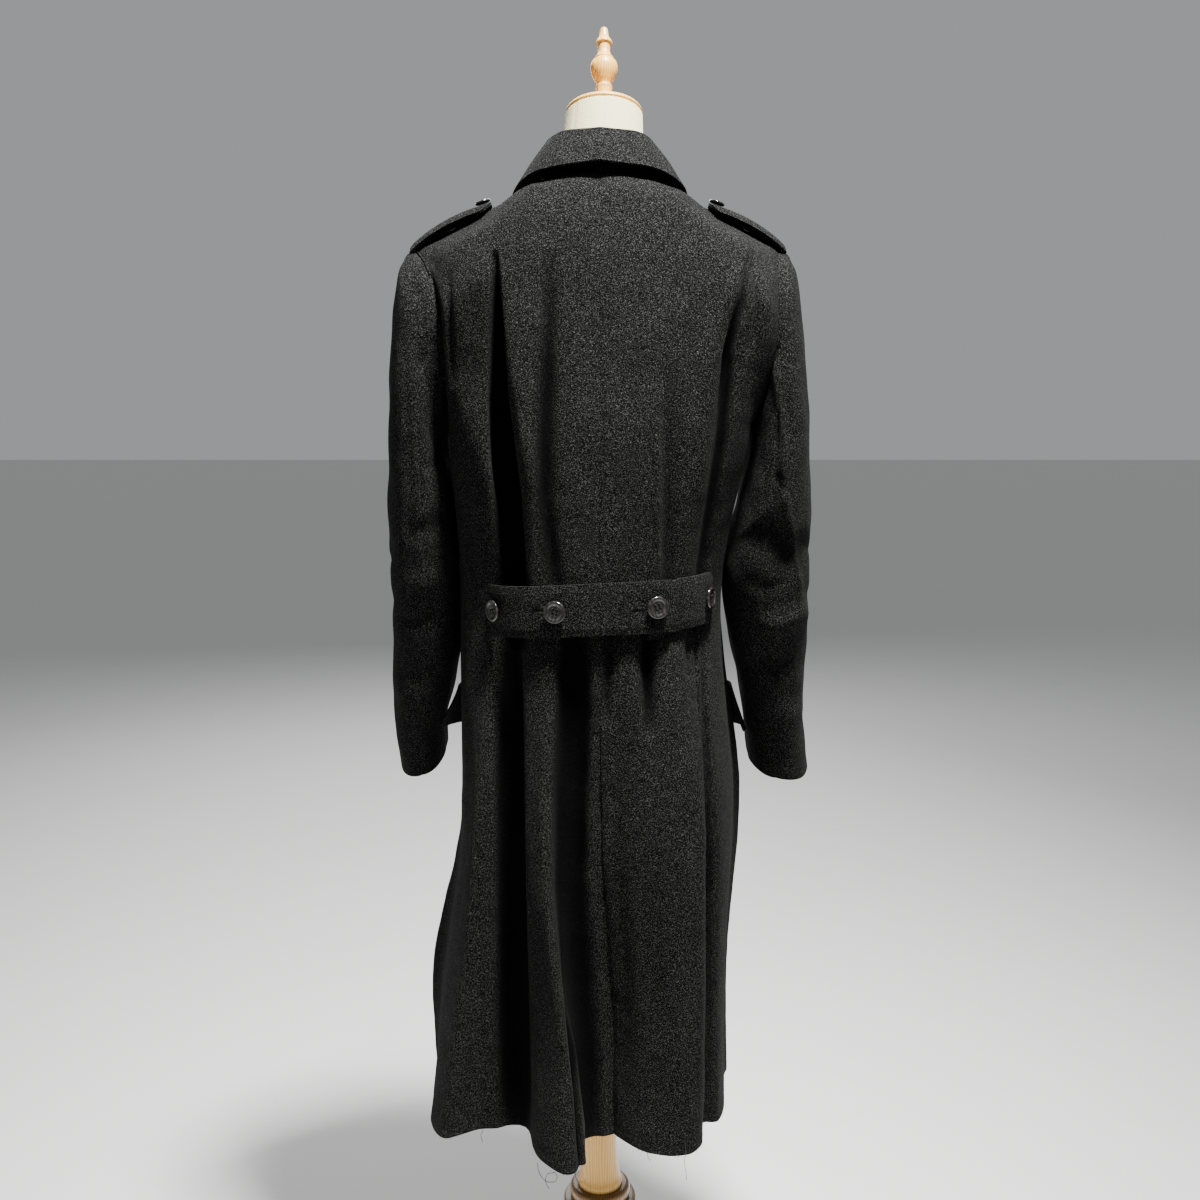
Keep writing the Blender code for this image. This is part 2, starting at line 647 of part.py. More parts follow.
def collar_sheet(around, along):
    """Visible side of the collar. around: -1 left end, 0 back, 1 right end;
    along: 0 foot of the stand, 4 fold, 8 outer edge."""
    table = np.array([row[1:] for row in COLLAR], float).reshape(len(COLLAR), 3, 3)
    table[:, :, 1] *= -1
    knots = np.linspace(0, 1, len(COLLAR))
    result = np.zeros((len(around), len(along), 3))
    for k, place in enumerate(around):
        stand, fold, edge = smooth_table(knots, table, [abs(place)])[0]
        outward = edge - fold
        outward[2] = 0
        outward = outward / np.linalg.norm(outward)
        up = np.array([0.0, 0.0, 1.0])
        path = np.array([
            stand,
            stand * 0.45 + (fold - 6.5 * outward) * 0.55 - up * 4,
            fold - 6.0 * outward - up * 8,
            fold - 3.6 * outward - up * 2.2,
            fold,
            fold + 4.2 * outward - up * 1.8,
            fold + 8.5 * outward - up * 7.0,
            fold * 0.45 + edge * 0.55 + up * 1.5 + outward * 2.0,
            edge,
        ])
        line = smooth_table(np.arange(len(path)), path, along)
        line[:, 0] *= 1.0 if place >= 0 else -1.0
        result[k] = line
    return result * MM


def build_collar():
    around = np.linspace(-1, 1, 25)
    along = np.arange(9)
    outer = collar_sheet(around, along)
    normals = unit(np.cross(np.gradient(outer, axis=1), np.gradient(outer, axis=0)))
    middle = len(around) // 2
    if normals[middle, -1, 1] > 0:
        normals = -normals
    inner = outer - normals * COLLAR_WALL
    wall_piece("collar", outer, inner, WOOL)


# Sleeves

def sleeve_sheet(side, turns, rings):
    """Outer side of a sleeve. turns: degrees round it, 0 outermost, 90 at the back;
    rings: 0 at the armhole, counting the table's rings to the cuff."""
    turns = np.asarray(turns, float)
    sign = SIDES[side]
    turns = (turns + 180) % 360 - 180
    table = np.zeros((len(SLEEVE_RINGS[side]) + 1, len(turns), 3))
    for k, turn in enumerate(turns):
        hole, _ = armhole_points(side, [180 - abs(turn)], turn < 0)
        table[0, k] = hole[0] / MM + np.array([sign * ARMHOLE_GAP / MM, 0, 0])
    radians = np.radians(turns)
    across = signed_power(np.cos(radians), 2 / SLEEVE_ROUNDNESS)
    along = signed_power(np.sin(radians), 2 / SLEEVE_ROUNDNESS)
    for ring, row in enumerate(SLEEVE_RINGS[side]):
        _, in_out, in_z, out_out, out_z, back, front, rise = row
        middle_y = (front - back) / 2
        half_y = (front + back) / 2
        y = middle_y - half_y * along
        out = (in_out + out_out) / 2 + (out_out - in_out) / 2 * across
        z = (in_z + out_z) / 2 + (out_z - in_z) / 2 * across
        z = z + rise * (y - middle_y) / (2 * half_y)
        table[ring + 1] = np.stack([sign * out, y, z], axis=-1)
    return np.swapaxes(smooth_table(np.arange(len(table)), table, rings), 0, 1) * MM


SLEEVE_STEPS = np.concatenate([
    np.linspace(0, 3, 6), np.linspace(3.8, 7, 5), np.linspace(8, 11, 5)])


def build_sleeve(side):
    for name, first, last in (("top_sleeve_", FORE_SEAM, HIND_SEAM),
                              ("under_sleeve_", HIND_SEAM, 360 + FORE_SEAM)):
        turns = np.arange(first, last + 1, SLEEVE_STEP)
        outer = sleeve_sheet(side, turns, SLEEVE_STEPS)
        normals, around = sleeve_ways(side, turns)
        inner = outer - normals * WALL
        move = np.zeros_like(outer)
        move[0] = around[0] * SEAM_GAP / 2
        move[-1] = -around[-1] * SEAM_GAP / 2
        wall_piece(name + side, outer + move, inner + move, WOOL)


def sleeve_ways(side, turns):
    """Ways out of and round a sleeve; at the armhole the first are the body's own."""
    step = 2.0
    before = sleeve_sheet(side, turns - step, SLEEVE_STEPS)
    after = sleeve_sheet(side, turns + step, SLEEVE_STEPS)
    here = sleeve_sheet(side, turns, SLEEVE_STEPS)
    down = np.gradient(here, axis=1)
    normals = unit(np.cross(after - before, down)) * SIDES[side]
    for k, turn in enumerate((turns + 180) % 360 - 180):
        _, way = armhole_points(side, [180 - abs(turn)], turn < 0)
        normals[k, 0] = way[0]
    return normals, unit(after - before)


# Straps, belt and flaps

def strap_points(side, along, across):
    """Line of a shoulder strap: along runs from the shoulder end (0) to the tip (1)."""
    tip = ARMHOLE_OUT[side][-1]
    top = ARMHOLE_CENTRE + ARMHOLE_HEIGHT
    slope = (SEAM_START - top) / (tip - NECK_HALF)
    out = tip - 3 - along * (tip - STRAP_TIP_OUT)
    lift = 0.2 + 8.9 * math.sin(math.pi * min(1.0, 0.5 * along ** 0.6 + 0.42 * along))
    y = STRAP_LINE + across
    z = top + (tip - out) * slope + lift - 0.0085 * across * across
    return np.array([SIDES[side] * out, y, z])


def build_strap(side):
    lengths = np.concatenate([np.linspace(0, STRAP_TAPER, 7), [0.9, 0.96, 1.0]])
    rows = 7
    outer = np.zeros((len(lengths), rows, 3))
    for k, along in enumerate(lengths):
        past = max(0.0, (along - STRAP_TAPER) / (1 - STRAP_TAPER))
        half = STRAP_HALF * math.sqrt(max(0.0, 1 - 0.86 * past ** 2.2))
        for row, share in enumerate(np.linspace(-1, 1, rows)):
            outer[k, row] = strap_points(side, along, half * share)
    outer *= MM
    normals = sheet_normals(outer, side)
    middle = normals[len(lengths) // 2, rows // 2]
    if middle[2] < 0:
        normals = -normals
    inner = outer.copy()
    outer = outer + normals * BELT_WALL
    wall_piece("shoulder_strap_" + side, outer, inner, WOOL)
    seat = 7
    return outer[seat, rows // 2], unit(normals[seat, rows // 2])


def belt_point(x, rise, out):
    """Point on the half belt's plan curve: x and rise in mm, moved out by millimetres."""
    side = "left" if x < 0 else "right"
    square, fourth = BELT_CURVE[side]
    back = BELT_BACK - square * x * x - fourth * x ** 4
    slope = 2 * square * x + 4 * fourth * x ** 3
    way = np.array([slope, -1.0]) / math.hypot(slope, 1.0)
    table = np.array(BELT_HEIGHTS, float)
    middle = smooth_table(table[:, 0], table[:, 1:], [x])[0, 0]
    return (np.array([x + way[0] * out, -back + way[1] * out, middle + rise]) * MM,
            np.array([way[0], way[1], 0.0]))


def belt_sewn(side, x):
    """How far the belt is drawn in near its sewn end, mm."""
    end = BELT_LEFT[0] if side == "left" else BELT_RIGHT[1]
    return BELT_TUCK[side] * max(0.0, 1 - abs(x - end) / BELT_SEWN)


def build_belt(side, ends, out, drop):
    """One piece of the half belt: ends in x, out from the belt's line, drop of its free end.
    The left piece lies on top and has rounded corners."""
    start, stop = ends
    xs = np.linspace(start, stop, 19 if stop - start > 150 else 9)
    rises = np.linspace(-BELT_HALF_WIDTH, BELT_HALF_WIDTH, 5)
    outer = np.zeros((len(xs), len(rises), 3))
    inner = np.zeros_like(outer)
    thick = BELT_WALL / MM
    for k, x in enumerate(xs):
        for row, rise in enumerate(rises):
            shift = 0.0
            if side == "left" and k == len(xs) - 1:
                shift = -2.5 * (abs(rise) / BELT_HALF_WIDTH) ** 4
            lower = drop * max(0.0, 1 - (x - start) / 40)
            near = out - belt_sewn(side, x)
            outer[k, row], _ = belt_point(x + shift, rise - lower, near)
            inner[k, row], _ = belt_point(x + shift, rise - lower, near - thick)
    wall_piece("half_belt_" + side, outer, inner, WOOL)


def build_flap(side):
    """Pocket flap on the front, lifted most at its lower back corner."""
    places = np.linspace(*FLAP_PLACES, 8)
    heights = np.linspace(*FLAP_HEIGHTS, 5)
    points = front_sheet(side, places, heights)
    normals = sheet_normals(points, side)
    inner = np.zeros_like(points)
    for k in range(len(places)):
        for row in range(len(heights)):
            low = 1 - row / (len(heights) - 1)
            rear = 1 - k / (len(places) - 1)
            lift = LAY_GAP + 0.0009 + (FLAP_LIFT[side] * low ** 1.3 * rear ** 2 + 2 * low) * MM
            inner[k, row] = points[k, row] + normals[k, row] * lift
    outer = inner + normals * FLAP_WALL
    wall_piece("pocket_flap_" + side, outer, inner, WOOL)


# Buttons

def button_profile(diameter):
    """Raised rim, dished face and domed back, as radius and height pairs in mm."""
    r = diameter / MM / 2
    return ((0, 2.4), (r * 0.55, 2.4), (r * 0.82, 4.0), (r * 0.95, 3.5), (r, 2.2),
            (r * 0.86, 0.8), (r * 0.5, 0), (0, 0))


def place_on(point, way, lift):
    """Placement with its own z along a way out of the cloth."""
    way = Vector(way)
    turn = way.to_track_quat("Z", "Y").to_matrix().to_4x4()
    spot = Vector(point) + way * lift
    return Matrix.Translation(spot) @ turn


def build_buttons(strap_seats):
    under = LAY_GAP
    for number, x in enumerate(BELT_BUTTONS, start=1):
        side = "left" if x < BELT_LEFT[1] else "right"
        out = BELT_WALL / MM if side == "left" else 0.0
        before, point, after = (belt_point(at, 0, out - belt_sewn(side, at))[0]
                                for at in (x - 5, x, x + 5))
        along = after - before
        way = unit(np.array([along[1], -along[0], 0.0]))
        turned_piece(f"belt_button_{number}", button_profile(BUTTON_LARGE), 14, HORN,
                     place_on(point, way, under))
    for side, (point, way) in strap_seats.items():
        turned_piece("strap_button_" + side, button_profile(BUTTON_SMALL), 12, HORN,
                     place_on(point, way, under + 0.0003))
    number = 0
    for height in FRONT_BUTTON_HEIGHTS:
        for out in (-FRONT_BUTTON_OUT, FRONT_BUTTON_OUT):
            number += 1
            place = front_place("left", out, height)
            grid = front_sheet("left", [place - 0.02, place, place + 0.02],
                               [height - 8, height, height + 8])
            way = sheet_normals(grid, "left")[1, 1]
            turned_piece(f"front_button_{number}", button_profile(BUTTON_LARGE), 10, HORN,
                         place_on(grid[1, 1], way, under - 0.0002))


# Dress form and stand

def build_form():
    rings = []
    sides = 24
    for height, half_width, back, front, roundness, tilt in FORM_SECTIONS:
        lean = math.radians(tilt)
        base_x, base_y, top = (value / MM for value in CAP_CENTRE)
        share = max(0.0, (height - NECK_FROM) / (top - NECK_FROM))
        base_x, base_y = base_x * share, base_y * share
        ring = []
        for k in range(sides):
            turn = 2 * math.pi * k / sides
            x = half_width * signed_power(math.cos(turn), 2 / roundness)
            y = signed_power(math.sin(turn), 2 / roundness)
            y = y * (front if y > 0 else back)
            ring.append(((base_x + x) * MM, (base_y + y * math.cos(lean)) * MM,
                         (height - y * math.sin(lean)) * MM))
        rings.append(ring)
    lofted_body("dress_form", rings, COTTON)


def build_stand():
    tilted = Matrix.Translation(CAP_CENTRE) @ Matrix.Rotation(-math.radians(NECK_TILT), 4, "X")
    turned_piece("neck_cap", NECK_CAP, 24, WOOD, tilted)
    on_cap = tilted @ Matrix.Translation((0, 0, 0.0083))
    turned_piece("finial", FINIAL, 16, WOOD, on_cap)
    turned_piece("post", POST, 16, WOOD)
    turned_piece("post_ring", POST_RING, 20, DARK_WOOD)
    turned_piece("base_hub", BASE_HUB, 18, DARK_WOOD)
    turned_piece("base_disc", BASE_DISC, 28, DARK_WOOD)


for old in list(bpy.data.objects):
    bpy.data.objects.remove(old)

parts = bpy.data.collections.new("double_breasted_coat")
bpy.context.scene.collection.children.link(parts)

WOOL = material("black_wool", (0.012, 0.012, 0.013), 0.95)
HORN = material("dark_horn", (0.015, 0.012, 0.012), 0.25)
COTTON = material("cream_cotton", (0.74, 0.66, 0.55), 0.9)
WOOD = material("pale_wood", (0.62, 0.36, 0.14), 0.45)
DARK_WOOD = material("stained_wood", (0.12, 0.05, 0.025), 0.4)

seats = {}
for wearer_side in SIDES:
    build_back(wearer_side)
    build_front(wearer_side)
    build_lapel(wearer_side)
    build_sleeve(wearer_side)
    build_flap(wearer_side)
    seats[wearer_side] = build_strap(wearer_side)
build_collar()
build_belt("right", BELT_RIGHT, 0.0, 9.0)
build_belt("left", BELT_LEFT, (BELT_WALL + SEAM_GAP) / MM, 0.0)
build_buttons(seats)
build_form()
build_stand()
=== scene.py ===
import math

import bpy
import numpy as np
from mathutils import Matrix, Vector


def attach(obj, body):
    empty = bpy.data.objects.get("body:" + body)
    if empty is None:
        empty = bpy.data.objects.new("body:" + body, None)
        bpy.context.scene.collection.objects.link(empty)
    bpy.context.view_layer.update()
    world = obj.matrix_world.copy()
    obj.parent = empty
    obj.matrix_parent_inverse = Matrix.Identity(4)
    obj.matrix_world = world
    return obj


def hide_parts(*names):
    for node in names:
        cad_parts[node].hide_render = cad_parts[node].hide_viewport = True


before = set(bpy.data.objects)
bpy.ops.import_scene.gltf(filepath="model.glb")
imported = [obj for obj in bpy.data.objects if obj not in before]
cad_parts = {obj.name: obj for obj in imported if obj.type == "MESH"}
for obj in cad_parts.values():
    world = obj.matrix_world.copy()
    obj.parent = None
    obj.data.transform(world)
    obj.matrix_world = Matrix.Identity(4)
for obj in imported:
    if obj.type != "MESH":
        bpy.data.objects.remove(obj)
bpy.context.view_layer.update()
mm = 0.001
sides = {"left": -1.0, "right": 1.0}


# Camera, light and floor

room = {
    "cameraSpot": (0.0, -1.545, 1.335),
    "pitchDown": 8.5,        # degrees
    "lens": 36.0,
    "lights": (
        # name, spot, aim, size, power, spread in degrees
        ("overhead key", (0.50, -0.78, 3.78), (0.02, -0.13, 0.92), 0.40, 98.0, 78.0),
        ("far soft light", (-0.4, 3.3, 3.0), (0.0, 0.5, 0.7), 2.4, 115.0, 180.0),
    ),
    "worldColour": (0.94, 0.95, 0.97), "worldStrength": 0.36,
    "floorColour": (0.70, 0.70, 0.69), "floorHalf": 40.0, "floorDrop": 0.0005,
}

camera = bpy.data.objects.new("camera", bpy.data.cameras.new("camera"))
bpy.context.scene.collection.objects.link(camera)
camera.data.lens = room["lens"]
camera.data.sensor_width = 36.0
camera.data.clip_end = 90
camera.location = room["cameraSpot"]
camera.rotation_euler = (math.radians(90 - room["pitchDown"]), 0, 0)
bpy.context.scene.camera = camera

for name, spot, aim, size, power, spread in room["lights"]:
    data = bpy.data.lights.new(name, "AREA")
    data.spread = math.radians(spread)
    data.energy = power
    data.size = size
    light = bpy.data.objects.new(name, data)
    bpy.context.scene.collection.objects.link(light)
    light.location = spot
    light.rotation_euler = (Vector(aim) - Vector(spot)).to_track_quat("-Z", "Y").to_euler()

world = bpy.data.worlds.new("studio")
bpy.context.scene.world = world
world.use_nodes = True
world.node_tree.nodes["Background"].inputs["Color"].default_value = (*room["worldColour"], 1)
world.node_tree.nodes["Background"].inputs["Strength"].default_value = room["worldStrength"]


# Curves and grids

def smoothTable(knots, values, at):
    # a cubic through a table's rows that never overshoots between them
    knots = np.asarray(knots, float)
    values = np.asarray(values, float)
    at = np.asarray(at, float)
    extra = (1,) * (values.ndim - 1)
    step = np.diff(knots).reshape((-1,) + extra)
    rise = np.diff(values, axis=0) / step
    sameWay = rise[:-1] * rise[1:] > 0
    safe = np.where(sameWay, rise[:-1] + rise[1:], 1.0)
    slope = np.zeros_like(values)
    slope[1:-1] = np.where(sameWay, 2 * rise[:-1] * rise[1:] / safe, 0.0)
    slope[0], slope[-1] = rise[0], rise[-1]
    cell = np.clip(np.searchsorted(knots, at, side="right") - 1, 0, len(knots) - 2)
    width = step[cell]
    t = np.clip(((at - knots[cell]).reshape(at.shape + extra)) / width, 0, 1)
    return (values[cell] * (1 + 2 * t) * (1 - t) ** 2
            + values[cell + 1] * t * t * (3 - 2 * t)
            + width * slope[cell] * t * (1 - t) ** 2
            - width * slope[cell + 1] * t * t * (1 - t))


def signedPower(value, power):
    return np.sign(value) * np.abs(value) ** power


def unit(vectors):
    return vectors / np.maximum(np.linalg.norm(vectors, axis=-1, keepdims=True), 1e-12)


def gridWays(points, sign):
    return unit(np.cross(np.gradient(points, axis=0), np.gradient(points, axis=1))) * sign


def runAlong(line):
    # distance along a line from its first point
    return np.concatenate([[0], np.cumsum(np.linalg.norm(np.diff(line, axis=0), axis=1))])


def unevenness(points, size, seed):
    # slow random swells of about one size in metres, mostly between -1 and 1
    pick = np.random.default_rng(seed)
    ways = unit(pick.normal(size=(9, 3))) * (2 * math.pi / (size * pick.uniform(0.7, 1.5, 9)))[:, None]
    phase = pick.uniform(0, 2 * math.pi, 9)
    flat = points.reshape(-1, 3)
    return (np.sin(flat @ ways.T + phase).sum(1) / 4.5).reshape(points.shape[:-1])


def edgeReach(points, edge):
    # distance over the cloth from one edge of its grid
    axis = 0 if edge in ("first", "last") else 1
    steps = np.linalg.norm(np.diff(points, axis=axis), axis=-1)
    pad = [(0, 0), (0, 0)]
    pad[axis] = (1, 0)
    run = np.cumsum(np.pad(steps, pad), axis=axis)
    if edge in ("last", "top"):
        end = run[-1:, :] if axis == 0 else run[:, -1:]
        run = end - run
    return run


def sinkEdges(points, ways, edges, depth, reach):
    # cloth rolls in at a seam, or thins at a free edge
    moved = points.copy()
    for edge in edges:
        near = np.exp(-(edgeReach(points, edge) / reach) ** 2)
        moved -= ways * (depth * near)[..., None]
    return moved


def sinkLine(points, ways, edge, inset, depth=0.0006, width=0.0022):
    # a row of stitches pulls the cloth down along a line inside an edge
    near = np.exp(-((edgeReach(points, edge) - inset) / width) ** 2)
    return points - ways * (depth * near)[..., None]


def insetLine(points, ways, edge, inset, ends):
    # the line on a grid at one distance inside an edge, with its ways out
    if edge in ("first", "last"):
        points, ways = np.swapaxes(points, 0, 1), np.swapaxes(ways, 0, 1)
        edge = "bottom" if edge == "first" else "top"
    run = edgeReach(points, edge)
    line, out = [], []
    for k in range(len(points)):
        order = np.argsort(run[k])
        for grid, found in ((points, line), (ways, out)):
            found.append([np.interp(inset, run[k][order], grid[k][order, a]) for a in range(3)])
    line, out = np.array(line), unit(np.array(out))
    along = runAlong(line)
    keep = (along > ends) & (along < along[-1] - ends)
    return line[keep], out[keep]


def creased(points, ways, sign, creases):
    # the points moved by the creases, and the painted shade each one gets from how deep in a fold it lies
    facing = {"back": (0, (0, -1, 0)), "front": (0, (0, 1, 0)), "outer": (1, (sign, 0, 0))}
    moved = points.copy()
    paintedShade = np.zeros(points.shape[:-1])
    for view, rows in creases.items():
        across, way = facing[view]
        flat = points[..., (across, 2)] / mm
        seen = np.clip((ways @ np.array(way, float)) * 3, 0, 1)
        for sink, startWidth, endWidth, steep, *path in rows:
            path = np.array(path, float).reshape(-1, 2)
            lengths = np.linalg.norm(np.diff(path, axis=0), axis=1)
            best = np.full(paintedShade.shape, 1e9)
            share = np.zeros(paintedShade.shape)
            done = 0.0
            for a, b, length in zip(path[:-1], path[1:], lengths):
                t = np.clip(((flat - a) @ (b - a)) / length ** 2, 0, 1)
                gap = np.linalg.norm(flat - (a + t[..., None] * (b - a)), axis=-1)
                closer = gap < best
                best = np.where(closer, gap, best)
                share = np.where(closer, (done + t * length) / lengths.sum(), share)
                done += length
            fade = np.sin(math.pi * np.clip(share, 0, 1)) ** 0.5
            width = startWidth + (endWidth - startWidth) * share
            depth = sink * fade * seen * np.exp(-(best / width) ** steep)
            moved -= ways * (depth * mm)[..., None]
            # painted shade: points deeper in a crease get a darker painted colour
            paintedShade = np.maximum(paintedShade, np.clip((depth - 1.0) / 9.0, 0, 1))
    return moved, paintedShade


# Making pieces

def newMesh(name, points, faces, finish):
    mesh = bpy.data.meshes.new(name)
    mesh.from_pydata(np.array(points, float).reshape(-1, 3).tolist(), [], faces)
    mesh.update()
    mesh.shade_smooth()
    mesh.materials.append(finish)
    return mesh


def newPiece(name, mesh, replaces=(), place=None):
    piece = bpy.data.objects.new(name, mesh)
    if place is not None:
        piece.matrix_world = place
    bpy.context.scene.collection.objects.link(piece)
    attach(piece, "root")
    if replaces:
        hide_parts(*replaces)
    return piece


def easeEdges(piece, width, segments, angle):
    edge = piece.modifiers.new("eased edge", "BEVEL")
    edge.width = width
    edge.segments = segments
    edge.limit_method = "ANGLE"
    edge.angle_limit = math.radians(angle)


def gridFaces(lines, rows, start, flip):
    line, row = np.meshgrid(np.arange(lines - 1), np.arange(rows - 1), indexing="ij")
    a = (start + line * rows + row).ravel()
    faces = np.stack([a, a + rows, a + rows + 1, a + 1], axis=1)
    return faces[:, ::-1] if flip else faces


def ringFaces(start, rings, steps):
    # the faces between closed rings of points that follow one another
    return [(a + n, a + (n + 1) % steps, a + (n + 1) % steps + steps, a + n + steps)
            for a in range(start, start + (rings - 1) * steps, steps) for n in range(steps)]


def wallMesh(name, outer, inner, outward, finish):
    # a closed wall between two grids
    lines, rows = outer.shape[:2]
    half = lines * rows
    middle = lines // 2, rows // 2
    across, up = outer[middle[0] + 1, middle[1]], outer[middle[0], middle[1] + 1]
    way = np.cross(across - outer[middle], up - outer[middle])
    flip = float(way @ outward[middle]) < 0
    corner = np.arange(half).reshape(lines, rows)
    here = np.concatenate([corner[:, 0], corner[-1, 1:], corner[-2::-1, -1], corner[0, -2:0:-1]])
    after = np.roll(here, -1)
    rim = (here, after, after + half, here + half) if flip else (after, here, here + half, after + half)
    faces = [gridFaces(lines, rows, 0, flip), gridFaces(lines, rows, half, not flip), np.stack(rim, axis=1)]
    return newMesh(name, [outer, inner], np.concatenate(faces).tolist(), finish)


def clothPiece(node, outer, ways, wall, roundness=0.0007, paintedShade=None):
    mesh = wallMesh(node + "_cloth", outer, outer - ways * (wall * mm), ways, meltonBlack)
    if paintedShade is not None:
        # painted shade: the fold mask goes on both walls, where it darkens the cloth's colour
        depth = mesh.attributes.new("paintedShade", "FLOAT", "POINT")
        depth.data.foreach_set("value", np.concatenate([paintedShade.ravel(), paintedShade.ravel()]))
    piece = newPiece(node + "_cloth", mesh, [node])
    easeEdges(piece, roundness, 2, 60)
    piece.modifiers.new("even shading", "WEIGHTED_NORMAL")


def tubeMesh(name, paths, radius, around, finish):
    # thin closed tubes along several paths, all in one mesh
    turns = (np.arange(around) * 2 * math.pi / around)[:, None]
    points, faces = [], []
    for path in paths:
        along = unit(np.gradient(path, axis=0))
        helper = np.where(np.abs(along[:, 2:3]) < 0.9, np.array([[0.0, 0, 1]]), np.array([[1.0, 0, 0]]))
        first = unit(np.cross(along, helper))
        second = np.cross(along, first)
        start = len(points)
        last = start + (len(path) - 1) * around
        rings = path[:, None] + radius * (np.cos(turns) * first[:, None] + np.sin(turns) * second[:, None])
        points += list(rings.reshape(-1, 3))
        faces += ringFaces(start, len(path), around)
        faces += [tuple(range(start, start + around))[::-1], tuple(range(last, last + around))]
    return newMesh(name, points, faces, finish)


def tubePiece(name, paths, radius, around, finish):
    newPiece(name, tubeMesh(name, paths, radius, around, finish))


stitch = {"length": 0.0034, "gap": 0.0012, "lift": 0.0001, "dive": 0.0007, "radius": 0.00022, "sides": 4}


def stitchPaths(line, ways, length=stitch["length"], gap=stitch["gap"]):
    # short stitches along a line on the cloth, each end sinking into it
    run = runAlong(line)
    made = []
    at = gap
    while at + length < run[-1]:
        spots = np.linspace(at, at + length, 5)
        path, way = (np.stack([np.interp(spots, run, values[:, k]) for k in range(3)], axis=1)
                     for values in (line, ways))
        height = stitch["lift"] - stitch["dive"] * np.abs(np.linspace(-1, 1, 5)) ** 3
        made.append(path + unit(way) * height[:, None])
        at += length + gap
    return made


def stitchEdges(name, points, ways, edges, inset, ends):
    paths = [path for edge in edges for path in stitchPaths(*insetLine(points, ways, edge, inset, ends))]
    tubePiece(name, paths, stitch["radius"], stitch["sides"], threadBlack)


def turnedMesh(name, profile, steps, finish):
    # a turned form: radius and height from top to bottom, in mm
    points, faces, start = [], [], []
    for radius, height in profile:
        start.append(len(points))
        turns = 2 * math.pi * np.arange(steps if radius > 1e-6 else 1) / steps
        points += [(radius * mm * math.cos(turn), radius * mm * math.sin(turn), height * mm) for turn in turns]
    start.append(len(points))
    for a, b, end in zip(start[:-2], start[1:-1], start[2:]):
        for n in range(steps):
            m = (n + 1) % steps
            if b - a == 1:
                faces.append((a, b + n, b + m))
            elif end - b == 1:
                faces.append((a + n, b, a + m))
            else:
                faces.append((a + n, b + n, b + m, a + m))
    return newMesh(name, points, faces, finish)


def roundedProfile(profile, steps=5):
    # extra points on a cubic through the profile; doubled points stay corners
    table = np.array(profile, float)
    run = runAlong(table)
    at = np.unique(np.concatenate([np.linspace(a, b, steps + 1) for a, b in zip(run[:-1], run[1:])]))
    return [tuple(row) for row in smoothTable(run, table, at)]


# Finishes

def addNode(tree, kind, vector=None, **values):
    made = tree.nodes.new(kind)
    for name, value in values.items():
        if name in made.inputs:
            made.inputs[name].default_value = value
        else:
            setattr(made, name, value)
    if vector is not None:
        tree.links.new(vector, made.inputs["Vector"])
    return made


def newFinish(name, values):
    # a material, its node tree, its shader with some values set, and the piece's own coordinates
    made = bpy.data.materials.new(name)
    made.use_nodes = True
    shader = made.node_tree.nodes["Principled BSDF"]
    for socket, value in values.items():
        shader.inputs[socket].default_value = value
    return made, made.node_tree, shader, addNode(made.node_tree, "ShaderNodeTexCoord").outputs["Object"]


def noise(tree, place, scale, detail=2.0, rough=0.5):
    return addNode(tree, "ShaderNodeTexNoise", place, Scale=scale, Detail=detail, Roughness=rough).outputs["Fac"]


def ramp(tree, value, low, high, lowOut=0.0, highOut=1.0):
    made = addNode(tree, "ShaderNodeMapRange")
    for name, number in zip(("From Min", "From Max", "To Min", "To Max"), (low, high, lowOut, highOut)):
        made.inputs[name].default_value = number
    tree.links.new(value, made.inputs["Value"])
    return made.outputs["Result"]


def maths(tree, kind, first, second):
    made = addNode(tree, "ShaderNodeMath", operation=kind)
    for spot, value in enumerate((first, second)):
        if isinstance(value, (int, float)):
            made.inputs[spot].default_value = value
        else:
            tree.links.new(value, made.inputs[spot])
    return made.outputs["Value"]


def weighed(tree, *parts):
    # the sum of values, each times its weight
    total = None
    for value, weight in parts:
        part = maths(tree, "MULTIPLY", value, weight)
        total = part if total is None else maths(tree, "ADD", total, part)
    return total


def mixed(tree, share, first, second):
    made = addNode(tree, "ShaderNodeMix", data_type="RGBA")
    tree.links.new(share, made.inputs["Factor"])
    for spot, value in (("A", first), ("B", second)):
        socket = [s for s in made.inputs if s.name == spot and s.type == "RGBA"][0]
        if isinstance(value, tuple):
            socket.default_value = (*value, 1)
        else:
            tree.links.new(value, socket)
    return [s for s in made.outputs if s.type == "RGBA"][0]


def finished(made, tree, shader, colour, height, distance):
    # the colour and the fine relief on the shader
    tree.links.new(colour, shader.inputs["Base Color"])
    relief = addNode(tree, "ShaderNodeBump", Distance=distance, Strength=1.0)
    tree.links.new(height, relief.inputs["Height"])
    tree.links.new(relief.outputs["Normal"], shader.inputs["Normal"])
    return made


melton = {
    "deep": (0.0006, 0.0007, 0.0007), "light": (0.0105, 0.0108, 0.0102), "fuzz": (0.090, 0.090, 0.086),
    # painted shade: the colour painted deep in the folds, and how much of it is mixed in
    "paintedShade": (0.00018, 0.00021, 0.00021), "paintedShadeStrength": 0.93,
    "fuzzSize": 800.0, "fibreSize": 2000.0, "fibreShare": 0.28, "patchSize": 14.0, "bump": 0.0012,
    "lintColour": (0.5, 0.5, 0.48), "lint": 0.2, "lintScale": 62.0, "lintRare": 0.90, "lintSize": 0.036,
    "shader": {"Roughness": 0.95, "Specular IOR Level": 0.05, "Sheen Weight": 0.012, "Sheen Roughness": 0.4,
               "Sheen Tint": (0.6, 0.6, 0.58, 1)},
}


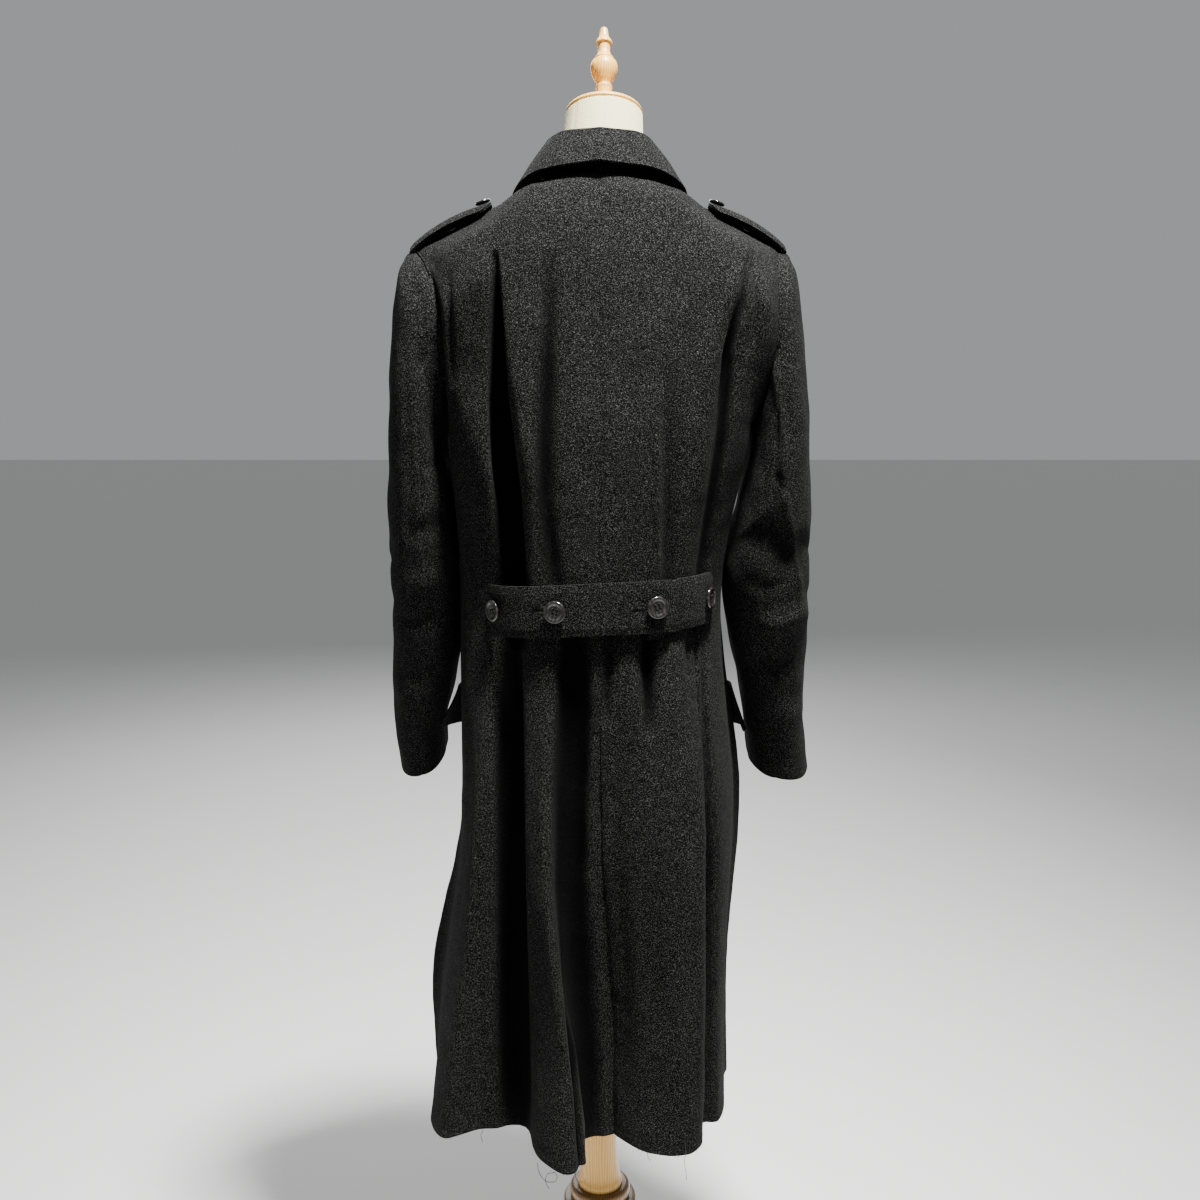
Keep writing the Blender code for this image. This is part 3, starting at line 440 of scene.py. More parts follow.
def meltonFinish():
    made, tree, shader, place = newFinish("black melton", melton["shader"])
    fuzz = noise(tree, place, melton["fuzzSize"], 1.0)
    fibre = noise(tree, place, melton["fibreSize"], 1.0)
    patch = noise(tree, place, melton["patchSize"])
    speckle = weighed(tree, (fuzz, 1 - melton["fibreShare"]), (fibre, melton["fibreShare"]))
    share = maths(tree, "MULTIPLY", ramp(tree, speckle, 0.45, 0.60), ramp(tree, patch, 0.3, 0.7, 0.78, 1.12))
    cloth = mixed(tree, share, melton["deep"], melton["light"])
    cells = addNode(tree, "ShaderNodeTexVoronoi", place, Scale=melton["lintScale"])      # stray lint
    parts = addNode(tree, "ShaderNodeSeparateColor")
    tree.links.new(cells.outputs["Color"], parts.inputs["Color"])
    rare = maths(tree, "GREATER_THAN", parts.outputs["Red"], melton["lintRare"])
    close = maths(tree, "LESS_THAN", cells.outputs["Distance"], melton["lintSize"])
    lint = maths(tree, "MULTIPLY", maths(tree, "MULTIPLY", rare, close), melton["lint"])
    cloth = mixed(tree, lint, cloth, melton["lintColour"])
    fleck = ramp(tree, maths(tree, "MULTIPLY", fibre, fuzz), 0.31, 0.42, 0.0, 0.8)
    cloth = mixed(tree, fleck, cloth, melton["fuzz"])
    paintedShade = addNode(tree, "ShaderNodeAttribute", attribute_name="paintedShade")    # painted shade: the cloth's colour is darkened inside the folds
    paintedShadeShare = maths(tree, "MULTIPLY", paintedShade.outputs["Fac"], melton["paintedShadeStrength"])
    return finished(made, tree, shader, mixed(tree, paintedShadeShare, cloth, melton["paintedShade"]), speckle, melton["bump"])


def threadFinish(name, colour):
    made, tree, shader, place = newFinish(name, {"Roughness": 0.9, "Specular IOR Level": 0.1})
    ply = noise(tree, place, 2600.0, 1.0)
    return finished(made, tree, shader, mixed(tree, ply, tuple(v * 0.5 for v in colour), colour), ply, 0.0002)


horn = {"dark": (0.006, 0.0052, 0.0048), "light": (0.026, 0.023, 0.021), "roughness": (0.10, 0.24)}


def hornFinish():
    made, tree, shader, place = newFinish("polished dark horn", {"Coat Weight": 0.35, "Coat Roughness": 0.12})
    cloud = noise(tree, place, 160.0, 4.0, 0.6)
    streak = addNode(tree, "ShaderNodeTexWave", place, Scale=60.0, Distortion=9.0, Detail=3.0)
    both = maths(tree, "MULTIPLY", cloud, streak.outputs["Fac"])
    tree.links.new(ramp(tree, cloud, 0.3, 0.7, *horn["roughness"]), shader.inputs["Roughness"])
    return finished(made, tree, shader, mixed(tree, ramp(tree, both, 0.1, 0.6), horn["dark"], horn["light"]), cloud,
                    0.0001)


cotton = {"warp": (0.90, 0.84, 0.52), "weft": (0.82, 0.74, 0.42), "threads": 1500.0}


def cottonFinish():
    made, tree, shader, place = newFinish("cream cotton", {"Roughness": 0.9, "Sheen Weight": 0.1})
    spread = addNode(tree, "ShaderNodeSeparateXYZ", place)
    lines = []
    for axis in ("X", "Z"):
        turns = maths(tree, "SINE", maths(tree, "MULTIPLY", spread.outputs[axis], cotton["threads"] * 2.0), 0.0)
        lines.append(ramp(tree, turns, -1, 1))
    weave = maths(tree, "MULTIPLY", *lines)
    both = weighed(tree, (weave, 0.5), (noise(tree, place, 220.0, 3.0), 0.5))
    return finished(made, tree, shader, mixed(tree, both, cotton["weft"], cotton["warp"]), both, 0.0003)


def woodFinish(name, pale, dark, roughness=0.42):
    made, tree, shader, place = newFinish(name, {"Coat Weight": 0.25, "Coat Roughness": 0.25})
    stretch = addNode(tree, "ShaderNodeMapping", place, Scale=(1.0, 1.0, 0.07), Rotation=(0.03, 0.05, 0.0))
    along = stretch.outputs["Vector"]
    shifted = addNode(tree, "ShaderNodeMapping", along, Location=(0.05, 0.03, 0.0))
    rings = addNode(tree, "ShaderNodeTexWave", shifted.outputs["Vector"], wave_type="RINGS", rings_direction="Z",
                    Scale=95.0, Distortion=6.0, Detail=2.0)
    pores = noise(tree, along, 1400.0, 1.0)
    grain = weighed(tree, (rings.outputs["Fac"], 0.45), (noise(tree, along, 55.0, 3.0), 0.35), (pores, 0.2))
    tree.links.new(ramp(tree, pores, 0.2, 0.8, roughness - 0.08, roughness + 0.12), shader.inputs["Roughness"])
    return finished(made, tree, shader, mixed(tree, ramp(tree, grain, 0.25, 0.85), pale, dark), grain, 0.0002)


meltonBlack = meltonFinish()
threadBlack = threadFinish("black thread", (0.0022, 0.0022, 0.0022))
threadPale = threadFinish("loose grey thread", (0.035, 0.034, 0.032))
hornDark = hornFinish()
cottonCream = cottonFinish()
woodPale = woodFinish("pale turned wood", (0.82, 0.47, 0.10), (0.58, 0.29, 0.045))
# painted shade: a darker copy of the turned wood for the ring, hub and disc low under the coat
woodPaintedShade = woodFinish("turned wood with painted shade", (0.30, 0.17, 0.06), (0.16, 0.08, 0.03), roughness=0.35)
print("finishes made")


# The coat's body

bodyForm = {
    "wall": 3.0,
    "rowStep": 5.0,          # mm between rows of faces
    "neckHalf": 80,
    "seamDepth": 0.0011, "seamReach": 0.0032, "armholeDepth": 0.0016, "armholeReach": 0.0065,
    "hemStitch": 0.016,
    "levels": (
        # name, height, armhole angle
        ("hem", 430, 0), ("knee", 580, 0), ("seat", 830, 0), ("waist", 1105, 0), ("chest", 1290, 0),
        ("blade", 1400, 60), ("yoke", 1505, 100), ("slope", 1580, 140), ("ridge", 1609, 160),
        ("seam", 1622, 180),
    ),
    "armhole": {"centre": 1437.5, "height": 108, "back": 88, "front": 76,
                "angles": (0, 60, 100, 140, 160, 180),
                "left": (187, 187, 190, 209, 223, 233.5), "right": (189, 205, 214, 215, 219, 228.5)},
    "lean": 0.9,
}
levelHeight = np.array([row[1] for row in bodyForm["levels"]], float)
levelAngle = np.array([row[2] for row in bodyForm["levels"]], float)
waistLevel, chestLevel = 3, 4

backPanel = {
    "left": (
        # line, then out and back at the hem, knee, seat, waist, chest and blade
        ("centre", -44, 115, -42, 117, -10, 140, 0, 150, 0, 150, 0, 140),
        ("lap", -4, 131, -3, 129, 10, 147, 16, 149.5, 20, 151, 20, 141),
        ("tuck", 19, 149, 18, 150, 26, 151, 34, 147.5, 38, 150, 40, 142),
        ("roll in", 17, 188, 26, 176, 44, 159, 48, 145.5, 58, 146, 64, 140),
        ("crest", 40, 208, 47, 190, 68, 166, 66, 141.5, 84, 146, 98, 137),
        ("flank", 74, 178, 74, 164, 92, 148, 84, 133, 99, 133, 110, 128),
        ("valley", 106, 112, 104, 118, 113, 121, 102, 111, 115, 114, 122, 117),
        ("panel", 150, 113, 141, 116, 132, 118, 118, 105, 134, 121, 140, 118),
        ("strip", 196, 134, 180, 129, 154, 122, 131, 96, 160, 108, 165, 107),
        ("turn", 222, 88, 203, 82, 173, 76, 170, 60, 185, 68, 181, 98),
        ("side", 226, 0, 216, 0, 184, 0, 183, 0, 187, 0, 187, 84),
    ),
    "right": (
        ("centre", 17, 124, 16, 126, 3, 146, 0, 150, 0, 150, 0, 140),
        ("plain", 34, 143, 34, 140, 28, 151, 22, 149, 24, 151, 24, 141),
        ("broad", 62, 164, 62, 155, 58, 156, 46, 146, 52, 151, 52, 142),
        ("soft", 90, 171, 94, 165, 93, 155, 70, 139, 72, 147, 82, 141),
        ("ridge", 111, 168, 121, 158, 121, 145, 102, 117, 119, 134, 132, 129),
        ("edge", 130, 143, 132, 138, 130, 127, 113, 98, 130, 122, 142, 121),
        ("tuck", 134, 101, 133, 105, 130, 107, 114, 89, 133, 109, 146, 112),
        ("strip", 152, 97, 150, 97, 147, 104, 126, 83, 151, 109, 164, 112),
        ("turn", 165, 60, 163, 60, 168, 60, 151, 44, 181, 72, 186, 101),
        ("side", 171, 0, 168, 0, 178, 0, 157, 0, 187, 0, 205, 82),
    ),
    "upperRows": (
        # back at the centre, reach, roundness
        (128, 1.00, 2.6), (110, 0.93, 2.2), (97, 0.60, 2.0), (86, 0.343, 2.0),
    ),
    "seeds": {"left": 11, "right": 23}, "swell": 0.0007,
    "creases": {
        # by the side each one faces: how far it sinks, half width at both ends, steepness,
        # then out and height of its points, all in mm
        "left": {
            "back": (
                (23, 4, 18, 3, -122, 1530, -121, 1450, -120, 1359, -114, 1290, -110, 1244, -108, 1150,
                 -108, 1060),
                (5, 4, 5, 2, -178, 1512, -177, 1440, -176, 1372),
                (11, 9, 11, 2, -56, 1530, -64, 1360, -66, 1240, -56, 1140, -48, 1080),
                (-3.4, 5, 7, 2, -84, 1330, -76, 1279, -68, 1210, -62, 1135, -60, 1080),
                (-2.2, 6, 6, 2, -150, 1250, -146, 1196, -139, 1145),
                (20, 14, 19, 4, -112, 1110, -112, 1007, -112, 830, -112, 650, -110, 500, -108, 400),
                (-3, 6, 9, 2, -134, 1060, -140, 948, -142, 829, -142, 649, -146, 480),
                (-3.6, 4, 6, 2, -60, 1060, -64, 1019, -71, 888, -62, 735, -48, 614, -33, 506, -20, 440),
                (23, 21, 14, 4, -32, 1110, -32, 1007, -35, 888, -35, 771, -24, 649, -14, 523, -11, 400),
                (3, 8, 14, 2, -165, 1000, -168, 860, -176, 700, -184, 560),
                (2, 11, 11, 2, -150, 1490, -146, 1425, -150, 1350),
                (2, 5, 7, 2, -90, 1110, -92, 1070, -96, 1030),
            ),
        },
        "right": {
            "back": (
                (-4, 4, 5, 2, 66, 1380, 67, 1280, 68, 1200, 68, 1140, 68, 1060),
                (6, 8, 10, 2, 80, 1400, 80, 1280, 81, 1200, 81, 1060),
                (12, 5, 8, 4, 176, 1525, 167, 1478, 158, 1447, 150, 1413, 147, 1370, 142, 1306, 136, 1253,
                 129, 1191, 125, 1150, 122, 1080),
                (-3, 8, 9, 2, 160, 1500, 146, 1466, 136, 1440, 127, 1400, 121, 1330, 114, 1240),
                (4, 4, 5, 2, 180, 1535, 183, 1490, 184, 1456, 175, 1410),
                (-2.6, 4, 6, 2, 113, 1080, 120, 1040, 124, 830, 125, 580, 124, 430),
                (6, 4, 5, 4, 128, 1090, 129, 1000, 134, 830, 137, 650, 137, 420),
                (7, 11, 5, 2, 12, 1120, 11, 1050, 6, 975),
                (11, 11, 8, 3, 58, 1120, 58, 1040, 60, 960),
                (-3, 7, 10, 2, 36, 1080, 34, 1030, 36, 940),
                (-2.6, 7, 10, 2, 84, 1090, 88, 1030, 92, 950),
                (5, 6, 6, 2, 112, 1110, 110, 1060, 108, 1020),
                (1.6, 12, 14, 2, 96, 1500, 100, 1420, 98, 1350),
                (2.4, 18, 22, 2, 60, 820, 70, 690, 74, 560),
                (3, 8, 12, 2, 18, 920, 24, 800, 30, 650, 34, 450),
            ),
        },
    },
}

frontPanel = {
    "rows": (
        # depth, roundness, edge out, edge height
        (172, 2.4, -90, 430), (164, 2.4, -90, 580), (150, 2.4, -90, 830), (131, 2.3, -90, 1105),
        (142, 2.2, -88, 1290), (146, 2.2, -35, 1395), (128, 2.2, 12, 1490), (92, 2.0, 47, 1560),
        (46, 2.0, 67, 1600), (0, 2.0, 80, 1624),
    ),
    "evenFrom": 1400, "leftRise": 9.0,
    "folds": {
        # place, width, then outward at hem, knee, seat, waist and chest
        "left": ((0.11, 0.10, 6, 22, 6, 2, 0), (0.24, 0.08, -16, -13, -8, -2, 0), (0.36, 0.08, 16, 12, 6, 2, 3)),
        "right": ((0.12, 0.10, 12, 13, 17, 4, 0), (0.25, 0.08, -16, -12, -7, -3, -2), (0.37, 0.08, 12, 10, 5, 2, 2)),
    },
    "seeds": {"left": 37, "right": 41}, "swell": 0.0006,
    "creases": {
        # by the side each one faces: how far it sinks, half width at both ends, steepness,
        # then out and height of its points, all in mm
        "left": {
            "front": (
                (2.4, 8, 8, 2, -168, 1400, -140, 1350, -104, 1310, -80, 1290),
                (1.8, 8, 8, 2, -160, 1250, -120, 1190, -88, 1160),
                (1.6, 6, 6, 2, -128, 1090, -112, 1130, -98, 1200, -96, 1270),
                (-2, 11, 11, 2, -60, 900, -52, 760, -58, 600, -50, 470),
                (1.6, 13, 13, 2, 20, 880, 26, 720, 18, 560, 24, 450),
                (2, 7, 7, 2, -150, 1120, -120, 1105, -92, 1112),
                (1.2, 9, 9, 2, -190, 1480, -150, 1450, -120, 1455),
                (-1.2, 9, 9, 2, 60, 900, 66, 700, 62, 500),
            ),
        },
        "right": {
            "front": (
                (2.2, 8, 8, 2, 170, 1400, 142, 1352, 112, 1318, 96, 1300),
                (1.7, 8, 8, 2, 158, 1235, 128, 1180, 100, 1150),
                (1.6, 6, 6, 2, 124, 1095, 110, 1140, 104, 1220),
                (-1.8, 10, 10, 2, 124, 860, 112, 720, 118, 600, 110, 480),
                (1.8, 7, 7, 2, 148, 1128, 122, 1108, 100, 1114),
                (1.2, 9, 9, 2, 190, 1482, 158, 1456, 128, 1462),
            ),
        },
    },
}


def armholePoints(side, angles, front):
    form = bodyForm["armhole"]
    angles = np.asarray(angles, float)
    out = smoothTable(form["angles"], form[side], angles)
    turn = np.radians(angles)
    depth = form["front"] if front else -form["back"]
    points = np.stack([sides[side] * out, depth * np.sin(turn),
                       form["centre"] - form["height"] * np.cos(turn)], axis=-1) * mm
    way = unit(np.stack([0 * turn, np.sign(depth) * np.sin(turn) / abs(depth),
                         -np.cos(turn) / form["height"]], axis=-1))
    way[..., 0] = sides[side] * bodyForm["lean"] * ((1 - np.cos(turn)) / 2) ** 1.5
    return points, unit(way)


def armholeAngle(heights):
    return np.interp(heights, levelHeight[chestLevel:], levelAngle[chestLevel:])


def backLevelPoints(side):
    lines = backPanel[side]
    sign = sides[side]
    folded = 6
    points = np.zeros((len(lines), len(levelHeight), 3))
    for k, line in enumerate(lines):
        for level in range(folded):
            points[k, level] = (sign * line[1 + 2 * level], -line[2 + 2 * level], levelHeight[level])
    share = np.abs(points[:, folded - 1, 0]) / abs(points[-1, folded - 1, 0])
    ends = armholePoints(side, levelAngle[chestLevel:], False)[0] / mm
    for level in range(chestLevel, folded):
        points[:, level, 2] += (ends[level - chestLevel, 2] - levelHeight[level]) * share ** 4
    neckHalf = bodyForm["neckHalf"]
    for (back, reach, roundness), level in zip(backPanel["upperRows"], range(folded, len(levelHeight))):
        end = ends[level - chestLevel]
        far = abs(end[0])
        out = share * far
        curve = (1 - np.clip(out / (reach * far), 0, 1) ** roundness) ** (1 / roundness)
        points[:, level, 0] = sign * out
        points[:, level, 1] = end[1] + (-back - end[1]) * curve
        fall = np.clip((out - neckHalf) / (far - neckHalf), 0, 1)
        points[:, level, 2] = levelHeight[level] + (end[2] - levelHeight[level]) * fall
    return points


def backSheet(side, lines, heights):
    lines = np.asarray(lines, float)
    heights = np.asarray(heights, float)
    table = backLevelPoints(side)
    byHeight = smoothTable(levelHeight, np.swapaxes(table, 0, 1), heights)
    last = len(table) - 1
    ends = armholePoints(side, armholeAngle(heights), False)[0]
    shift = ends / mm - byHeight[:, last]
    shift[heights < levelHeight[chestLevel]] = 0
    result = np.zeros((len(lines), len(heights), 3))
    for k in range(len(heights)):
        row = smoothTable(np.arange(last + 1), byHeight[k], lines)
        nearEnd = np.clip(1 - (last - lines) / 1.5, 0, 1) ** 2
        result[:, k] = row + nearEnd[:, None] * shift[k]
        if heights[k] == levelHeight[-1]:
            neck = np.clip(np.abs(result[:, k, 0]) / bodyForm["neckHalf"], 0, 1)
            result[:, k, 1] = -backPanel["upperRows"][-1][0] * np.sqrt(1 - neck ** 2)
    return result * mm


def frontSheet(side, places, heights):
    places = np.asarray(places, float)
    heights = np.asarray(heights, float)
    sign = sides[side]
    rows = smoothTable(levelHeight, np.array(frontPanel["rows"], float), heights)
    seam = backSheet(side, [len(backPanel[side]) - 1], heights)[0] / mm
    hole = armholePoints(side, armholeAngle(heights), True)[0]
    start = np.where((heights >= levelHeight[chestLevel])[:, None], hole / mm, seam)
    result = np.zeros((len(places), len(heights), 3))
    folds = frontPanel["folds"][side]
    foldRows = smoothTable(levelHeight[:5], np.array([f[2:] for f in folds]).T, heights)
    evenFrom = frontPanel["evenFrom"]
    for k in range(len(heights)):
        depth, roundness, edge, edgeHeight = rows[k]
        if side == "left":
            depth += frontPanel["leftRise"] * min(1.0, depth / 100.0)
        sideOut, sideY, sideZ = abs(start[k, 0]), start[k, 1], start[k, 2]
        endAngle = math.asin(np.clip(signedPower(edge / sideOut, roundness / 2), -1, 1))
        angle = math.pi / 2 + (endAngle - math.pi / 2) * places
        even = np.clip((heights[k] - evenFrom) / (levelHeight[-2] - evenFrom), 0, 1)
        out = ((1 - even) * sideOut * signedPower(np.sin(angle), 2 / roundness)
               + even * (sideOut + (edge - sideOut) * places))
        inside = 1 - np.clip(np.abs(out) / sideOut, 0, 1) ** roundness
        y = sideY + (depth - sideY) * inside ** (1 / roundness)
        fade = np.clip((levelHeight[chestLevel] + 60 - heights[k]) / 120, 0, 1)
        wave = sum(foldRows[k, n] * np.exp(-((places - f[0]) / f[1]) ** 2) for n, f in enumerate(folds))
        wave = wave * fade * np.clip(places / 0.06, 0, 1) * np.clip((0.50 - places) / 0.10, 0, 1)
        out = out + wave * np.sin(angle)
        y = y + wave * np.abs(np.cos(angle))
        share = np.clip((sideOut - out) / (sideOut - edge), 0, 1)
        z = sideZ + (edgeHeight - sideZ) * share
        result[:, k] = np.stack([sign * out, y, z], axis=-1)
    return result * mm


def fineRows():
    heights = [levelHeight[0] + d for d in (0, 0.8, 2.0)]
    for low, high in zip(levelHeight[:-1], levelHeight[1:]):
        count = max(2, int(round((high - low) / bodyForm["rowStep"])))
        heights += [low + (high - low) * (k + 1) / count for k in range(count)]
    return np.unique(heights)


def withEdges(values, near, far):
    # more lines close to both ends of a run
    span = values[-1] - values[0]
    extra = [values[0] + span * s for s in near] + [values[-1] - span * s for s in far]
    return np.unique(np.concatenate([values, extra]))


def finishPanel(node, points, sign, paintedShade):
    ways = gridWays(points, sign)
    clothPiece(node, points, ways, bodyForm["wall"], paintedShade=paintedShade)
    return points, ways


def settle(points, sign, seed, swell, seam):
    # cloth is never quite even, but it stays in place at its top edge and at one seam
    uneven = unevenness(points, 0.075, seed) + 0.5 * unevenness(points, 0.032, seed + 1)
    free = np.clip(edgeReach(points, "top") / 0.03, 0, 1) * np.clip(edgeReach(points, seam) / 0.02, 0, 1)
    return points + gridWays(points, sign) * (swell * uneven * free)[..., None]


def makeBack(side):
    sign = sides[side]
    lines = len(backPanel[side]) - 1
    across = withEdges(np.linspace(0, lines, 8 * lines + 1), (0.004, 0.009), (0.004, 0.009))
    heights = fineRows()
    points = backSheet(side, across, heights)
    ways = gridWays(points, sign)
    ways[0, heights >= levelHeight[waistLevel], 0] = 0
    aboveChest = heights >= levelHeight[chestLevel]
    ways[-1, aboveChest] = armholePoints(side, armholeAngle(heights), False)[1][aboveChest]
    ways = unit(ways)
    points = settle(points, sign, backPanel["seeds"][side], backPanel["swell"], "last")
    points, paintedShade = creased(points, ways, sign, backPanel["creases"][side])
    points = sinkEdges(points, ways, ("first", "last", "top"), bodyForm["seamDepth"], bodyForm["seamReach"])
    points = sinkLine(points, ways, "bottom", bodyForm["hemStitch"])
    upper = np.clip((points[..., 2] - 1.30) / 0.03, 0, 1)
    sunk = sinkEdges(points, ways, ("last",), bodyForm["armholeDepth"], bodyForm["armholeReach"])
    return finishPanel("back_" + side, points + (sunk - points) * upper[..., None], sign, paintedShade)


def makeFront(side):
    sign = sides[side]
    places = withEdges(np.linspace(0, 1, 84), (0.003, 0.007), (0.002, 0.005))
    points = frontSheet(side, places, fineRows())
    ways = gridWays(points, sign)
    points = settle(points, sign, frontPanel["seeds"][side], frontPanel["swell"], "first")
    points, paintedShade = creased(points, ways, sign, frontPanel["creases"][side])
    points = sinkEdges(points, ways, ("first", "top"), bodyForm["seamDepth"], bodyForm["seamReach"])
    return finishPanel("front_" + side, sinkLine(points, ways, "bottom", bodyForm["hemStitch"]), sign, paintedShade)


backs = {side: makeBack(side) for side in sides}
fronts = {side: makeFront(side) for side in sides}
print("body made")


# Lapels

lapelForm = {
    "table": ((1297, 8), (1350, 40), (1420, 78), (1480, 99), (1508, 106), (1522, 82), (1545, 62), (1590, 34)),
    "shows": 1418,          # below this height the left front covers the right lapel
    "columns": 34, "rows": 90, "wall": 3.0,
    "lift": (0.0009, 0.0021), "rollPuff": 0.0022, "rollReach": 0.012,
}


def makeLapel(side):
    table = np.array(lapelForm["table"], float)
    lowest = table[0, 0] if side == "left" else lapelForm["shows"]
    heights = np.linspace(lowest, table[-1, 0], lapelForm["rows"])
    widths = np.interp(heights, table[:, 0], table[:, 1])
    points = np.zeros((lapelForm["columns"], len(heights), 3))
    ways = np.zeros_like(points)
    for k, height in enumerate(heights):
        row = frontSheet(side, np.linspace(0, 1, 81), [height - 2, height, height + 2])
        line, way = row[:, 1], gridWays(row, sides[side])[:, 1]
        outs = sides[side] * line[:, 0] / mm
        edge = outs[-1]
        start = edge + 2 if side == "left" else max(edge + 2, 4 - edge)
        targets = np.linspace(start, edge + widths[k], lapelForm["columns"])
        for axis in range(3):
            points[:, k, axis] = np.interp(-targets, -outs, line[:, axis])
            ways[:, k, axis] = np.interp(-targets, -outs, way[:, axis])
    ways = unit(ways)
    low, more = lapelForm["lift"]
    lift = low + more * np.clip((heights - 1480) / 50, 0, 1)[:, None]
    puff = lapelForm["rollPuff"] * np.exp(-(edgeReach(points, "first") / lapelForm["rollReach"]) ** 2)
    outer = points + ways * (lift + lapelForm["wall"] * mm + puff[..., None])
    clothPiece("lapel_" + side, outer, ways, lapelForm["wall"])
    return outer, ways


lapels = {side: makeLapel(side) for side in sides}


# Collar

collarForm = {
    "wall": 3.0, "around": 150, "along": 70,
    "places": (
        # stand out, back, height, fold out, back, height, edge out, back, height
        (0, 79.5, 1612, 0, 66, 1677, 0, 101, 1634),
        (51, 58, 1617, 44, 48, 1676, 70, 77, 1627),
        (72, 8, 1629, 62, 4, 1673, 106, 2, 1618),
        (65, -20, 1626, 63, -26, 1655, 115, -44, 1592),
        (60, -34, 1612, 64, -48, 1616, 104, -82, 1560),
    ),
}


def collarSheet(around, along):
    table = np.array(collarForm["places"], float).reshape(-1, 3, 3)
    table[:, :, 1] *= -1
    knots = np.linspace(0, 1, len(table))
    result = np.zeros((len(around), len(along), 3))
    up = np.array([0.0, 0.0, 1.0])
    for k, place in enumerate(around):
        stand, fold, edge = smoothTable(knots, table, [abs(place)])[0]
        outward = edge - fold
        outward[2] = 0
        outward = outward / np.linalg.norm(outward)
        path = np.array([
            stand, stand * 0.45 + (fold - 6.5 * outward) * 0.55 - up * 4, fold - 6.0 * outward - up * 8,
            fold - 3.6 * outward - up * 2.2, fold, fold + 4.2 * outward - up * 1.8,
            fold + 8.5 * outward - up * 7.0, fold * 0.45 + edge * 0.55 + up * 1.5 + outward * 2.0, edge,
        ])
        line = smoothTable(np.arange(len(path)), path, along)
        line[:, 0] *= 1.0 if place >= 0 else -1.0
        result[k] = line
    return result * mm


def makeCollar():
    around = np.linspace(-1, 1, collarForm["around"] + 1)
    along = withEdges(np.linspace(0, 8, collarForm["along"]), (0.004,), (0.003, 0.008))
    points = collarSheet(around, along)
    ways = gridWays(points, -1)
    if ways[len(around) // 2, -1, 1] > 0:
        ways = -ways
    swell = 0.0006 * unevenness(points, 0.06, 5) * np.clip(edgeReach(points, "bottom") / 0.04, 0, 1)
    points = points + ways * swell[..., None]
    clothPiece("collar", points, ways, collarForm["wall"])
    return points, ways


collar = makeCollar()
print("collar and lapels made")


# Sleeves

